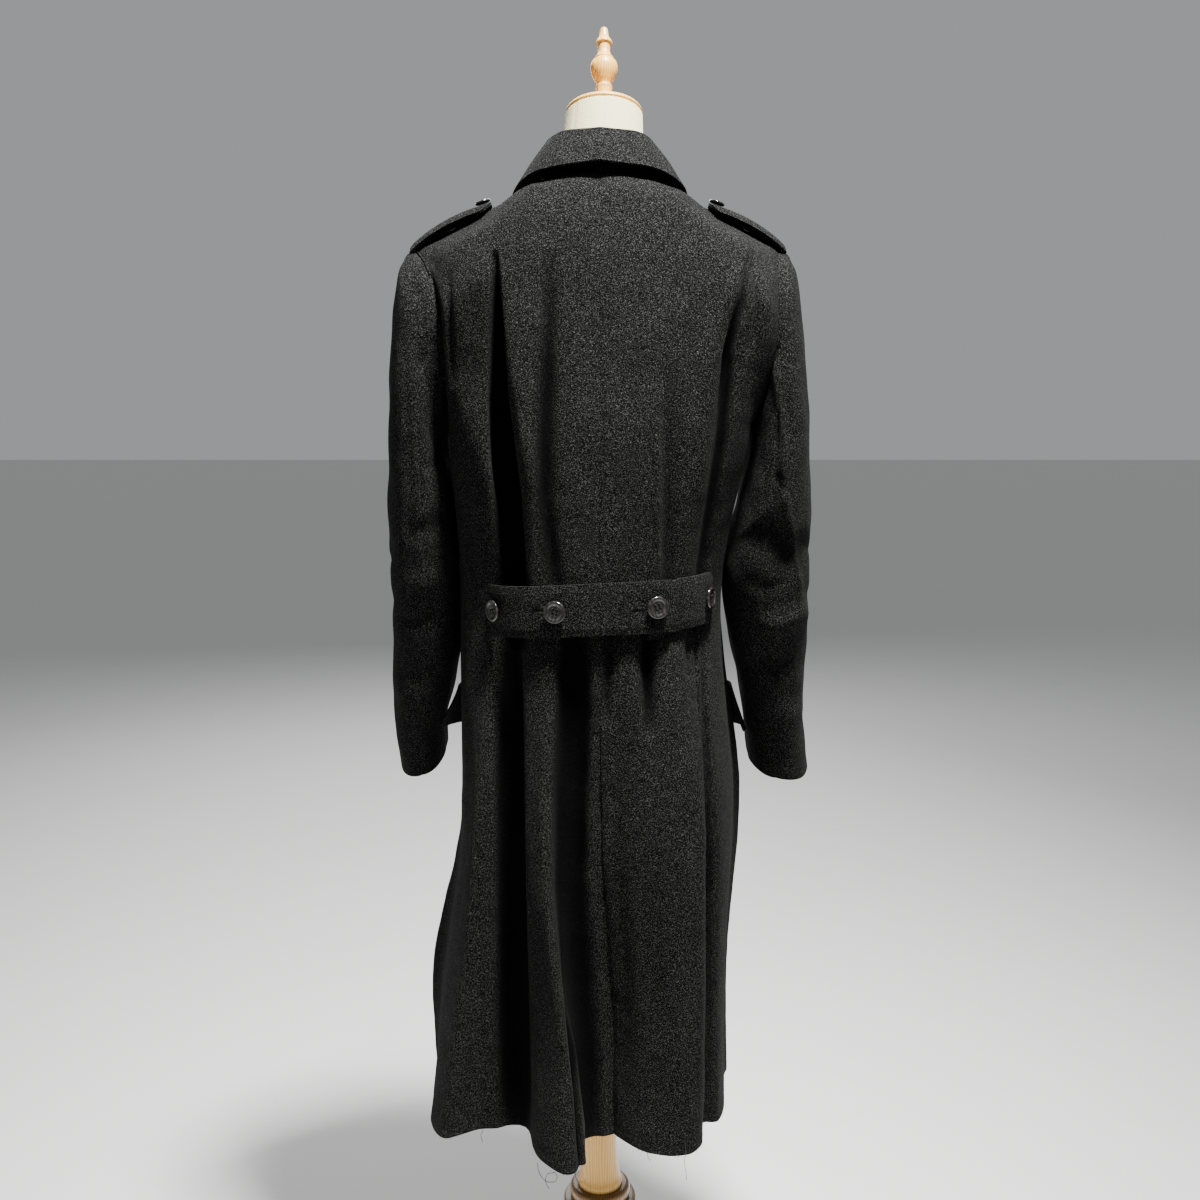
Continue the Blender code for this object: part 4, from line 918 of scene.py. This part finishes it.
sleeveForm = {
    "wall": 3.0, "roundness": 2.3, "hindSeam": 100, "foreSeam": -120, "turnStep": 3.0, "rowStep": 0.085,
    "swell": 0.0009,
    "headEase": 0.0022,        # fuller just below the shoulder seam
    "rings": {
        # inner out, height, outer out, height, back, front, forward rise
        "left": (
            (192, 1322, 246, 1521, 90, 80, 0), (194, 1313, 253, 1480, 92, 84, 0), (194, 1298, 259, 1430, 92, 86, 0),
            (190, 1272, 264, 1362, 90, 87, 0), (186, 1238, 267, 1290, 86, 88, 0), (183, 1190, 270, 1218, 79, 90, 0),
            (181, 1135, 271, 1140, 66, 96, 0), (182, 1065, 273, 1060, 48, 108, 5), (196, 990, 277, 985, 30, 122, 10),
            (211, 930, 276, 925, 14, 136, 20), (213, 884, 272, 876, 0, 150, 30),
        ),
        "right": (
            (192, 1320, 240, 1521, 89, 80, 0), (190, 1310, 247, 1480, 91, 84, 0), (188, 1294, 254, 1430, 91, 86, 0),
            (184, 1268, 260, 1362, 89, 87, 0), (178, 1236, 265, 1290, 86, 87, 0), (168, 1190, 270, 1212, 80, 88, 0),
            (160, 1130, 271, 1140, 70, 92, 0), (170, 1060, 272, 1065, 52, 102, 5), (186, 990, 271, 985, 32, 114, 10),
            (198, 925, 277, 920, 14, 124, 18), (203, 880, 285, 868, 0, 132, 26),
        ),
    },
    "creases": {
        # by the side each one faces: how far it sinks, half width at both ends, steepness,
        # then out and height of its points, all in mm
        "left": {
            "back": (
                (3.2, 4, 4, 2, -222, 1478, -212, 1488, -200, 1499),
                (2.6, 4.5, 4.5, 2, -222, 1392, -207, 1414, -192, 1433),
                (2, 5, 5, 2, -232, 1470, -231, 1380, -232, 1260, -235, 1140),
                (2.4, 6, 6, 2, -186, 1318, -196, 1290, -212, 1270),
                (3.6, 11, 11, 2, -186, 1228, -206, 1206, -238, 1196),
                (-3, 12, 12, 2, -190, 1150, -216, 1132, -252, 1136),
                (3.4, 10, 10, 2, -200, 1096, -226, 1080, -258, 1088),
                (2, 9, 9, 2, -214, 1020, -236, 1008, -262, 1018),
            ),
            "outer": (
                (2.6, 9, 9, 2, -66, 1190, -20, 1160, 30, 1150),
                (2.2, 9, 9, 2, -50, 1120, 0, 1100, 52, 1112),
                (1.2, 10, 10, 2, -30, 1486, 0, 1440, 10, 1380),
                (1.8, 8, 8, 2, 20, 1010, 60, 985, 100, 990),
            ),
            "front": (
                (3, 10, 10, 2, -190, 1246, -214, 1222, -248, 1214),
                (3.2, 9, 9, 2, -192, 1172, -222, 1150, -256, 1158),
                (2.2, 9, 9, 2, -206, 1100, -232, 1086, -262, 1098),
            ),
        },
        "right": {
            "back": (
                (-5, 4, 5, 2, 205, 1420, 213, 1371, 222, 1308, 221, 1257, 232, 1210, 243, 1174, 253, 1110),
                (4, 4, 4, 2, 214, 1272, 220, 1260, 226, 1246),
                (2.2, 4.5, 4.5, 2, 196, 1470, 204, 1440, 206, 1410),
                (8, 24, 22, 2, 190, 1208, 226, 1176, 262, 1160),
                (-7.5, 14, 14, 2, 200, 1076, 232, 1084, 266, 1098),
                (5, 16, 16, 2, 190, 1030, 224, 1020, 262, 1034),
                (-3, 15, 15, 2, 206, 958, 236, 962, 268, 950),
                (2.6, 8, 8, 2, 180, 1140, 206, 1128, 240, 1140),
            ),
            "outer": (
                (2.8, 9, 9, 2, -70, 1196, -20, 1168, 28, 1158),
                (2.4, 9, 9, 2, -52, 1130, 0, 1108, 50, 1116),
                (2, 8, 8, 2, 16, 1016, 56, 992, 96, 996),
            ),
            "front": (
                (3, 10, 10, 2, 186, 1240, 214, 1216, 252, 1212),
                (3, 9, 9, 2, 184, 1168, 216, 1150, 256, 1160),
                (2.2, 9, 9, 2, 192, 1092, 226, 1080, 262, 1094),
            ),
        },
    },
}


def sleeveSheet(side, turns, rings):
    turns = (np.asarray(turns, float) + 180) % 360 - 180
    sign = sides[side]
    ringTable = sleeveForm["rings"][side]
    table = np.zeros((len(ringTable) + 1, len(turns), 3))
    for k, turn in enumerate(turns):
        hole = armholePoints(side, [180 - abs(turn)], turn < 0)[0]
        table[0, k] = hole[0] / mm + np.array([sign * 0.6, 0, 0])
    radians = np.radians(turns)
    across = signedPower(np.cos(radians), 2 / sleeveForm["roundness"])
    along = signedPower(np.sin(radians), 2 / sleeveForm["roundness"])
    for ring, (inOut, inZ, outOut, outZ, back, front, rise) in enumerate(ringTable):
        middleY, halfY = (front - back) / 2, (front + back) / 2
        y = middleY - halfY * along
        out = (inOut + outOut) / 2 + (outOut - inOut) / 2 * across
        z = (inZ + outZ) / 2 + (outZ - inZ) / 2 * across + rise * (y - middleY) / (2 * halfY)
        table[ring + 1] = np.stack([sign * out, y, z], axis=-1)
    return np.swapaxes(smoothTable(np.arange(len(table)), table, rings), 0, 1) * mm


def makeSleeve(side):
    sign = sides[side]
    rings = withEdges(np.arange(0, 11.001, sleeveForm["rowStep"]), (0.003,), (0.001, 0.003))
    for name, first, last in (("top_sleeve_", sleeveForm["foreSeam"], sleeveForm["hindSeam"]),
                              ("under_sleeve_", sleeveForm["hindSeam"], 360 + sleeveForm["foreSeam"])):
        turns = withEdges(np.linspace(first, last, int((last - first) / sleeveForm["turnStep"]) + 1),
                          (0.004, 0.01), (0.004, 0.01))
        points = sleeveSheet(side, turns, rings)
        around = sleeveSheet(side, turns + 2, rings) - sleeveSheet(side, turns - 2, rings)
        ways = unit(np.cross(around, np.gradient(points, axis=1))) * sign
        for k, turn in enumerate((turns + 180) % 360 - 180):
            ways[k, 0] = armholePoints(side, [180 - abs(turn)], turn < 0)[1][0]
        calm = np.clip(edgeReach(points, "bottom") / 0.03, 0, 1)
        uneven = unevenness(points, 0.07, 61) + 0.6 * unevenness(points, 0.03, 62)
        points = points + ways * (sleeveForm["swell"] * calm * uneven)[..., None]
        points, paintedShade = creased(points, ways, sign, sleeveForm["creases"][side])
        if name == "top_sleeve_":
            head = np.exp(-((edgeReach(points, "bottom") - 0.011) / 0.008) ** 2)
            upper = np.clip((points[..., 2] - 1.43) / 0.06, 0, 1)
            points = points + ways * (sleeveForm["headEase"] * head * upper)[..., None]
        points = sinkEdges(points, ways, ("first", "last", "bottom"), bodyForm["seamDepth"], bodyForm["seamReach"])
        points = sinkEdges(points, ways, ("bottom",), bodyForm["armholeDepth"], bodyForm["armholeReach"])
        clothPiece(name + side, points, ways, sleeveForm["wall"], paintedShade=paintedShade)


for side in sides:
    makeSleeve(side)
print("sleeves made")


# Shoulder straps

strapForm = {
    "wall": 4.0, "half": 25.5, "tipOut": 137, "taper": 0.82, "line": -2, "stitch": 0.0055,
    "ridge": 1624, "frontFall": 0.0085, "backFall": 0.0165, "button": 0.9, "dent": 0.0006,
}


def strapPoint(side, along, across):
    form = bodyForm["armhole"]
    tip = form[side][-1]
    top = form["centre"] + form["height"]
    slope = (strapForm["ridge"] - top) / (tip - bodyForm["neckHalf"])
    out = tip - 3 - along * (tip - strapForm["tipOut"])
    lift = 0.2 + 8.9 * math.sin(math.pi * min(1.0, 0.5 * along ** 0.6 + 0.42 * along))
    fall = strapForm["frontFall" if across > 0 else "backFall"] * across ** 2
    return (sides[side] * out, strapForm["line"] + across, top + (tip - out) * slope + lift - fall)


def makeStrap(side):
    lengths = withEdges(np.concatenate([np.linspace(0, 0.8, 34), np.linspace(0.82, 1.0, 16)]), (0.005,), (0.004,))
    shares = withEdges(np.linspace(-1, 1, 27), (0.012,), (0.012,))
    base = np.zeros((len(lengths), len(shares), 3))
    for k, along in enumerate(lengths):
        past = max(0.0, (along - strapForm["taper"]) / (1 - strapForm["taper"]))
        half = strapForm["half"] * math.sqrt(max(0.0, 1 - 0.86 * past ** 2.2))
        for row, share in enumerate(shares):
            base[k, row] = strapPoint(side, along, half * share)
    base *= mm
    middle = len(shares) // 2
    ways = gridWays(base, 1)
    if ways[len(lengths) // 2, middle, 2] < 0:
        ways = -ways
    button = int(np.abs(lengths - strapForm["button"]).argmin()), middle
    seat, seatWay = base[button], ways[button]
    near = np.exp(-(np.linalg.norm(base - seat, axis=-1) / 0.014) ** 2)
    outer = base + ways * strapForm["wall"] * mm - ways * (strapForm["dent"] * near)[..., None]
    for edge in ("bottom", "top", "last"):
        outer = sinkLine(outer, ways, edge, strapForm["stitch"], 0.0005, 0.0014)
    clothPiece("shoulder_strap_" + side, outer, ways, strapForm["wall"] - 0.4,
               0.0011)
    stitchEdges("strap_stitches_" + side, outer, ways, ("bottom", "top"), strapForm["stitch"], 0.004)
    return seat + seatWay * strapForm["wall"] * mm, seatWay


strapSeats = {side: makeStrap(side) for side in sides}


# Half belt

beltForm = {
    "wall": 4.0, "back": 156, "half": 31, "stitch": 0.006,
    "curve": {"left": (1.33e-3, 1.0e-7), "right": (1.25e-3, 1.3e-7)},
    "heights": ((-133, 1107), (0, 1116), (141, 1120)),
    "ends": {"left": (-134, 86), "right": (57, 143)},
    "out": {"left": 4.4, "right": 0.0}, "drop": {"left": 0.0, "right": 9.0},
    "sewn": 30, "tuck": {"left": 2.6, "right": 3.1},
    "buttons": (-127, -52, 66, 137), "buttonSpins": (8, -14, 20, 5), "buttonDent": 0.0007,
    "holes": ((-80, -63), (35, 52)), "holeHeight": 1.114, "holeDepth": 0.0010, "holeStep": 0.62,
    "holeReach": 0.0023, "holeThread": 0.0003,
    "cornerPull": 2.5, "ripple": 0.0006,
}


def beltPoint(x, rise, out):
    square, fourth = beltForm["curve"]["left" if x < 0 else "right"]
    back = beltForm["back"] - square * x * x - fourth * x ** 4
    slope = 2 * square * x + 4 * fourth * x ** 3
    way = np.array([slope, -1.0]) / math.hypot(slope, 1.0)
    table = np.array(beltForm["heights"], float)
    middle = smoothTable(table[:, 0], table[:, 1:], [x])[0, 0]
    return np.array([x + way[0] * out, -back + way[1] * out, middle + rise]) * mm


def beltOut(side, x):
    # how far out the belt lies, less close to the end that is sewn in
    end = beltForm["ends"][side][0 if side == "left" else 1]
    return beltForm["out"][side] - beltForm["tuck"][side] * max(0.0, 1 - abs(x - end) / beltForm["sewn"])


def makeBelt(side):
    start, stop = beltForm["ends"][side]
    xs = withEdges(np.linspace(start, stop, int((stop - start) / 2.2)), (0.004,), (0.002, 0.006))
    rises = withEdges(np.linspace(-1, 1, 37), (0.01,), (0.01,)) * beltForm["half"]
    outer = np.zeros((len(xs), len(rises), 3))
    for k, x in enumerate(xs):
        lower = beltForm["drop"][side] * max(0.0, 1 - (x - start) / 40)
        pull = beltForm["cornerPull"] * np.clip((x - stop + 10) / 10, 0, 1) if side == "left" else 0.0
        for row, rise in enumerate(rises):
            corner = pull * (abs(rise) / beltForm["half"]) ** 4
            outer[k, row] = beltPoint(x - corner, rise - lower, beltOut(side, x))
    ways = gridWays(outer, 1)
    if ways[len(xs) // 2, len(rises) // 2, 1] > 0:
        ways = -ways
    x, rise = outer[..., 0], outer[..., 2] - beltForm["holeHeight"]
    ripple = beltForm["ripple"] * (unevenness(outer, 0.045, 71) - 0.9)
    for spot in beltForm["buttons"]:
        ripple = ripple - beltForm["buttonDent"] * np.exp(-(np.hypot(x - spot * mm, rise) / 0.017) ** 2)
    for first, last in beltForm["holes"]:
        inside = np.clip((x / mm - first) / 3, 0, 1) * np.clip((last - x / mm) / 3, 0, 1)
        ripple = ripple - beltForm["holeDepth"] * inside * np.exp(-(rise / 0.0013) ** 2)
    outer = outer + ways * ripple[..., None]
    outer = sinkEdges(outer, ways, ("bottom", "top"), 0.0012, 0.0045)
    edges = ("bottom", "top", "last" if side == "left" else "first")
    for edge in edges:
        outer = sinkLine(outer, ways, edge, beltForm["stitch"], 0.0005, 0.0015)
    clothPiece("half_belt_" + side, outer, ways, beltForm["wall"] - 0.5,
               0.0012)
    stitchEdges("belt_stitches_" + side, outer, ways, edges, beltForm["stitch"], 0.005)
    return outer, ways


belts = {side: makeBelt(side) for side in sides}


def buttonholeStitches(points, ways, first, last, seed):
    # close upright stitches round a slit in the belt
    pick = np.random.default_rng(seed)
    height = beltForm["holeHeight"]
    flat, out = points.reshape(-1, 3), ways.reshape(-1, 3)
    paths = []
    for x in np.arange(first, last, beltForm["holeStep"]):
        near = np.argmin(np.hypot(flat[:, 0] - x * mm, flat[:, 2] - height))
        for way in (-1, 1):
            reach = beltForm["holeReach"] + pick.uniform(-0.0002, 0.0003)
            path = []
            for share, lift in ((0.12, -0.0006), (0.3, 0.0004), (0.65, 0.0004), (1.0, -0.0003)):
                across = x * mm + pick.uniform(-1, 1) * 0.00005
                path.append(np.array([across, flat[near, 1], height + way * reach * share]) + out[near] * lift)
            paths.append(np.array(path))
    return paths


holePaths = [path for number, (first, last) in enumerate(beltForm["holes"])
             for path in buttonholeStitches(*belts["left"], first, last, 80 + number)]
tubePiece("belt_buttonholes", holePaths, beltForm["holeThread"], 5, threadBlack)
print("straps and belt made")


# Pocket flaps

flapForm = {"places": (0.05, 0.43), "heights": (925, 990), "wall": 3.5, "lift": {"left": 30, "right": 10},
            "stitch": 0.006, "sewn": ("bottom", "first", "last")}


def makeFlap(side):
    places = withEdges(np.linspace(*flapForm["places"], 56), (0.004,), (0.004,))
    heights = withEdges(np.linspace(*flapForm["heights"], 30), (0.01,), (0.01,))
    points = frontSheet(side, places, heights)
    ways = gridWays(points, sides[side])
    low = 1 - (heights - heights[0]) / (heights[-1] - heights[0])
    rear = 1 - (places - places[0]) / (places[-1] - places[0])
    lift = 0.0014 + (flapForm["lift"][side] * np.outer(rear ** 2, low ** 1.3) + 2 * low[None]) * mm
    outer = points + ways * (lift + flapForm["wall"] * mm)[..., None]
    for edge in flapForm["sewn"]:
        outer = sinkLine(outer, ways, edge, flapForm["stitch"], 0.0005, 0.0015)
    clothPiece("pocket_flap_" + side, outer, ways, flapForm["wall"] - 0.4, 0.0011)
    stitchEdges("flap_stitches_" + side, outer, ways, flapForm["sewn"], flapForm["stitch"], 0.006)


for side in sides:
    makeFlap(side)


# Stitches on the body, and the raw hem

hemForm = {
    "fibreCount": 520, "fibreLength": (0.002, 0.0065), "fibreRadius": 0.00011,
    "loose": (
        # out, back and height of each point in mm
        ((-76, 208, 446), (-74, 211, 436), (-69, 211, 427), (-62, 209, 421), (-55, 207, 420), (-52, 206, 426),
         (-56, 208, 433), (-63, 210, 433), (-66, 211, 424), (-62, 210, 413)),
        ((-31, 200, 434), (-30, 202, 424), (-26, 202, 414), (-27, 201, 404), (-23, 200, 399)),
        ((-11, 134, 470), (-9, 139, 462), (-6, 139, 452), (-7, 138, 444), (-4, 136, 438)),
        ((105, 173, 452), (106, 175, 440), (105, 175, 424), (107, 174, 410), (108, 173, 399)),
        ((58, 166, 434), (60, 168, 427), (63, 167, 421)),
        ((-150, 120, 433), (-153, 121, 426), (-151, 121, 417)),
    ),
    "looseRadius": 0.00032, "palest": 4,
}
panels = [made[side] for made in (backs, fronts) for side in sides]


def bodyStitches():
    paths = []
    for points, ways in panels:
        paths += stitchPaths(*insetLine(points, ways, "bottom", bodyForm["hemStitch"], 0.004), 0.0042, 0.0016)
    for side in sides:
        paths += stitchPaths(*insetLine(*lapels[side], "last", 0.0065, 0.008))
    return paths + stitchPaths(*insetLine(*collar, "top", 0.0065, 0.006))


def hemFibres():
    pick = np.random.default_rng(17)
    paths = []
    for points, ways in panels:
        line, out = points[:, 0], ways[:, 0]
        run = runAlong(line)
        for _ in range(hemForm["fibreCount"] // len(panels)):
            at = pick.uniform(0, run[-1])
            spot, way = (np.array([np.interp(at, run, values[:, a]) for a in range(3)]) for values in (line, out))
            spot = spot - way * pick.uniform(0.0002, 0.0026) + np.array([0, 0, 0.0006])
            length = pick.uniform(*hemForm["fibreLength"]) * pick.uniform(0.4, 1.0)
            lean = unit(np.array([pick.normal() * 0.7, pick.normal() * 0.5, -1.0]))
            curl = pick.normal(size=3) * length * 0.35
            paths.append(np.array([spot + lean * length * t + curl * t * t for t in (0, 0.35, 0.7, 1.0)]))
    return paths


tubePiece("seam_stitches", bodyStitches(), stitch["radius"], stitch["sides"], threadBlack)
tubePiece("hem_fibres", hemFibres(), hemForm["fibreRadius"], 3, threadBlack)
for number, path in enumerate(hemForm["loose"], start=1):
    spots = np.array(path, float) * (1, -1, 1) * mm
    fine = smoothTable(np.arange(len(spots)), spots, np.linspace(0, len(spots) - 1, 8 * len(spots)))
    tubePiece(f"loose_thread_{number}", [fine], hemForm["looseRadius"], 6,
              threadPale if number == hemForm["palest"] else threadBlack)
print("stitches and hem threads made")


# Buttons

buttonForm = {
    "large": 27.0, "small": 20.0, "turns": 64, "holeSpot": 0.18, "holeRadius": 0.115, "holeDepth": 2.0,
    "rim": 5,                # the profile's row up to which the holes reach
    "threadRadius": 0.000225, "threadGap": 0.000275,
    "frontHeights": (1262, 1150, 1038, 926), "frontOut": 68,
    "profile": (
        # share of the radius, height in mm
        (0.0, 2.35), (0.3, 2.32), (0.50, 2.35), (0.60, 2.6), (0.68, 3.3), (0.77, 3.85), (0.83, 4.0), (0.89, 3.9),
        (0.94, 3.55), (0.98, 2.95), (1.0, 2.2), (0.985, 1.6), (0.93, 1.05), (0.86, 0.75), (0.68, 0.3), (0.5, 0.05),
        (0.0, 0.0),
    ),
}


def buttonMesh(name, diameter):
    table = np.array(buttonForm["profile"], float)
    run = runAlong(table)
    rim = run[buttonForm["rim"]]
    at = np.unique(np.concatenate([np.linspace(0, rim, 34), np.linspace(rim, run[-2], 30), run[-2:]]))[1:-1]
    outline = smoothTable(run, table, at)
    radius = diameter / 2 * mm
    steps = buttonForm["turns"]
    turns = np.linspace(0, 2 * math.pi, steps, endpoint=False)
    points = np.zeros((len(outline), steps, 3))
    for k, (share, height) in enumerate(outline):
        x, y = share * np.cos(turns), share * np.sin(turns)
        sink = np.zeros(steps)
        if at[k] < rim:
            # the four holes lie evenly round the middle
            gap = np.hypot(np.abs(x) - buttonForm["holeSpot"], np.abs(y) - buttonForm["holeSpot"])
            sink = np.clip((buttonForm["holeRadius"] - gap) / 0.018, 0, 1)
        points[k] = np.stack([x * radius, y * radius, (height - buttonForm["holeDepth"] * sink) * mm], axis=1)
    vertices = [(0, 0, table[0, 1] * mm), *points.reshape(-1, 3), (0, 0, 0)]
    faces = [(0, 1 + n, 1 + (n + 1) % steps) for n in range(steps)]
    faces += [(face[0], *face[:0:-1]) for face in ringFaces(1, len(outline), steps)]
    a, end = 1 + (len(outline) - 1) * steps, len(vertices) - 1
    faces += [(a + n, end, a + (n + 1) % steps) for n in range(steps)]
    return newMesh(name, vertices, faces, hornDark)


def threadMesh(name, diameter):
    # two rows of sewing thread, each from one hole to the next
    spot = buttonForm["holeSpot"] * diameter / 2 * mm
    shares = np.linspace(-1, 1, 11)
    paths = [np.array([(x + shift, s * spot, (0.9 + 1.75 * (1 - abs(s) ** 6)) * mm) for s in shares])
             for x in (-spot, spot) for shift in (-buttonForm["threadGap"], 0, buttonForm["threadGap"])]
    return tubeMesh(name, paths, buttonForm["threadRadius"], 6, threadBlack)


buttonMeshes = {size: (buttonMesh(size + " button", buttonForm[size]),
                       threadMesh(size + " button thread", buttonForm[size])) for size in ("large", "small")}


def makeButton(node, size, point, way, lift, spin):
    way = Vector(way)
    turned = way.to_track_quat("Z", "Y").to_matrix().to_4x4() @ Matrix.Rotation(math.radians(spin), 4, "Z")
    place = Matrix.Translation(Vector(point) + way * lift) @ turned
    button, thread = buttonMeshes[size]
    newPiece(node + "_horn", button, [node], place)
    newPiece(node + "_thread", thread, place=place)


for number, (x, spin) in enumerate(zip(beltForm["buttons"], beltForm["buttonSpins"]), start=1):
    side = "left" if x < beltForm["ends"]["left"][1] else "right"
    before, point, after = (beltPoint(at, 0, beltOut(side, at)) for at in (x - 5, x, x + 5))
    along = after - before
    makeButton(f"belt_button_{number}", "large", point, unit(np.array([along[1], -along[0], 0.0])), 0.0005, spin)
for (side, (point, way)), spin in zip(strapSeats.items(), (30, -20)):
    makeButton("strap_button_" + side, "small", point, way, 0.0006, spin)
frontSpots = [(height, out) for height in buttonForm["frontHeights"]
              for out in (-buttonForm["frontOut"], buttonForm["frontOut"])]
for number, (height, out) in enumerate(frontSpots, start=1):
    places = np.linspace(0, 1, 201)
    row = frontSheet("left", places, [height])[:, 0] / mm
    place = float(np.interp(-out, row[:, 0], places))
    grid = frontSheet("left", [place - 0.02, place, place + 0.02], [height - 8, height, height + 8])
    makeButton(f"front_button_{number}", "large", grid[1, 1], gridWays(grid, -1)[1, 1], 0.0003,
               (number * 37) % 90 - 45)
print("buttons made")


# Dress form

dressForm = {
    "around": 120, "rowStep": 6.0, "seam": 0.0006, "seamWidth": 0.0016,
    "neckFrom": 1600, "capCentre": (0.005, 0.006, 1.706), "neckTilt": 16,
    "sections": (
        # height, half width, back, front, roundness, tilt
        (860, 146, 100, 98, 2.2, 0), (900, 150, 106, 103, 2.2, 0), (960, 149, 107, 104, 2.2, 0),
        (1040, 132, 98, 96, 2.2, 0), (1100, 120, 92, 92, 2.2, 0), (1170, 128, 98, 100, 2.2, 0),
        (1260, 146, 110, 116, 2.2, 0), (1350, 158, 117, 122, 2.2, 0), (1430, 166, 118, 118, 2.2, 0),
        (1500, 172, 106, 98, 2.2, 0), (1545, 168, 86, 74, 2.2, 0), (1572, 154, 70, 56, 2.1, 0),
        (1592, 121, 60, 44, 2.0, 0), (1606, 90, 58, 42, 2.0, 4), (1622, 66, 58, 45, 2.0, 8),
        (1645, 54, 54, 48, 2.0, 12), (1674, 50, 51, 50, 2.0, 15), (1705.6, 47.5, 47.5, 47.5, 2.0, 16),
    ),
}


def makeDressForm():
    table = np.array(dressForm["sections"], float)
    heights = np.unique(np.concatenate([table[:, 0], np.arange(863, 1705, dressForm["rowStep"]), [861, 1704.6]]))
    rows = smoothTable(table[:, 0], table[:, 1:], heights)
    steps = dressForm["around"]
    turns = np.linspace(0, 2 * math.pi, steps, endpoint=False)
    capX, capY, capZ = (value / mm for value in dressForm["capCentre"])
    points = []
    for height, (half, back, front, roundness, tilt) in zip(heights, rows):
        lean = math.radians(tilt)
        share = max(0.0, (height - dressForm["neckFrom"]) / (capZ - dressForm["neckFrom"]))
        x = half * signedPower(np.cos(turns), 2 / roundness)
        y = signedPower(np.sin(turns), 2 / roundness)
        y = y * np.where(y > 0, front, back)
        # eight seams, evenly round the form
        gap = np.abs((turns + math.pi / 8) % (math.pi / 4) - math.pi / 8) * half * mm
        sink = dressForm["seam"] / mm * np.exp(-(gap / dressForm["seamWidth"]) ** 2)
        x, y = x - np.cos(turns) * sink, y - np.sin(turns) * sink
        points.append(np.stack([capX * share + x, capY * share + y * math.cos(lean), height - y * math.sin(lean)], 1))
    last = (len(heights) - 1) * steps
    faces = [tuple(range(steps))[::-1], tuple(range(last, last + steps)), *ringFaces(0, len(heights), steps)]
    mesh = newMesh("dress form", np.array(points) * mm, faces, cottonCream)
    easeEdges(newPiece("dress_form_cotton", mesh, ["dress_form"]), 0.0015, 3, 50)


makeDressForm()


# Turned stand

stand = {
    # radius and height in mm, top to bottom
    "finial": ((0, 109), (3.4, 108.2), (4.8, 105), (6, 97), (10.4, 88.4), (7.8, 86), (7.4, 78), (9, 71), (12.2, 67),
               (11.8, 65.6), (15.4, 62), (17, 55), (15.8, 48), (12.2, 40), (8.2, 32), (10.6, 29.5), (10, 27),
               (9.4, 20), (12, 9), (18, 0), (0, 0)),
    "neck_cap": ((0, 8), (38, 8), (43.5, 7.4), (46.5, 5.4), (47.5, 3), (46.4, 0.8), (44, 0), (0, 0)),
    "post": ((0, 859.7), (21.5, 859.7), (21.5, 470), (21.7, 400), (22.6, 350), (24.6, 318), (28, 294), (31, 284),
             (31, 280.3), (0, 280.3)),
    "post_ring": ((0, 280), (36, 280), (40.5, 277.5), (42, 272), (41.4, 266.5), (38.5, 263), (34, 261.3), (0, 261.3)),
    "base_hub": ((0, 261), (48, 261), (51, 256), (51, 248), (47, 236), (36, 212), (31, 175), (33, 130), (42, 90),
                 (56, 60), (64, 40), (64, 25.3), (0, 25.3)),
    "base_disc": ((0, 25), (160, 25), (172, 21), (178, 14), (180, 8), (180, 0), (0, 0)),
    "steps": 112,
}
upright = Matrix.Identity(4)
tilted = (Matrix.Translation(dressForm["capCentre"])
          @ Matrix.Rotation(-math.radians(dressForm["neckTilt"]), 4, "X"))
for node, wood, slot, place in (
        ("neck_cap", woodPale, "pale_wood", tilted),
        ("finial", woodPale, "pale_wood", tilted @ Matrix.Translation((0, 0, 0.0083))),
        ("post", woodPale, "pale_wood", upright),
        # the ring, hub and disc take the darker copy of the wood, which is painted shade
        ("post_ring", woodPaintedShade, "stained_wood", upright),
        ("base_hub", woodPaintedShade, "stained_wood", upright),
        ("base_disc", woodPaintedShade, "stained_wood", upright)):
    mesh = turnedMesh(node + "_turned", roundedProfile(stand[node]), stand["steps"], wood)
    easeEdges(newPiece(node + "_turned", mesh, [node], place), 0.0006, 2, 40)
print("dress form and stand made")


# Floor

floorFinish, floorTree, floorShader, floorPlace = newFinish("pale floor", {"Roughness": 0.8})
floorPale = room["floorColour"]
mottle = mixed(floorTree, noise(floorTree, floorPlace, 9.0, 4.0), floorPale, tuple(v * 0.96 for v in floorPale))
floorTree.links.new(mottle, floorShader.inputs["Base Color"])
half, drop = room["floorHalf"], room["floorDrop"]
corners = [(-half, -half, -drop), (half, -half, -drop), (half, half, -drop), (-half, half, -drop)]
floor = bpy.data.objects.new("studio_floor", newMesh("studio floor", corners, [(0, 1, 2, 3)], floorFinish))
bpy.context.scene.collection.objects.link(floor)
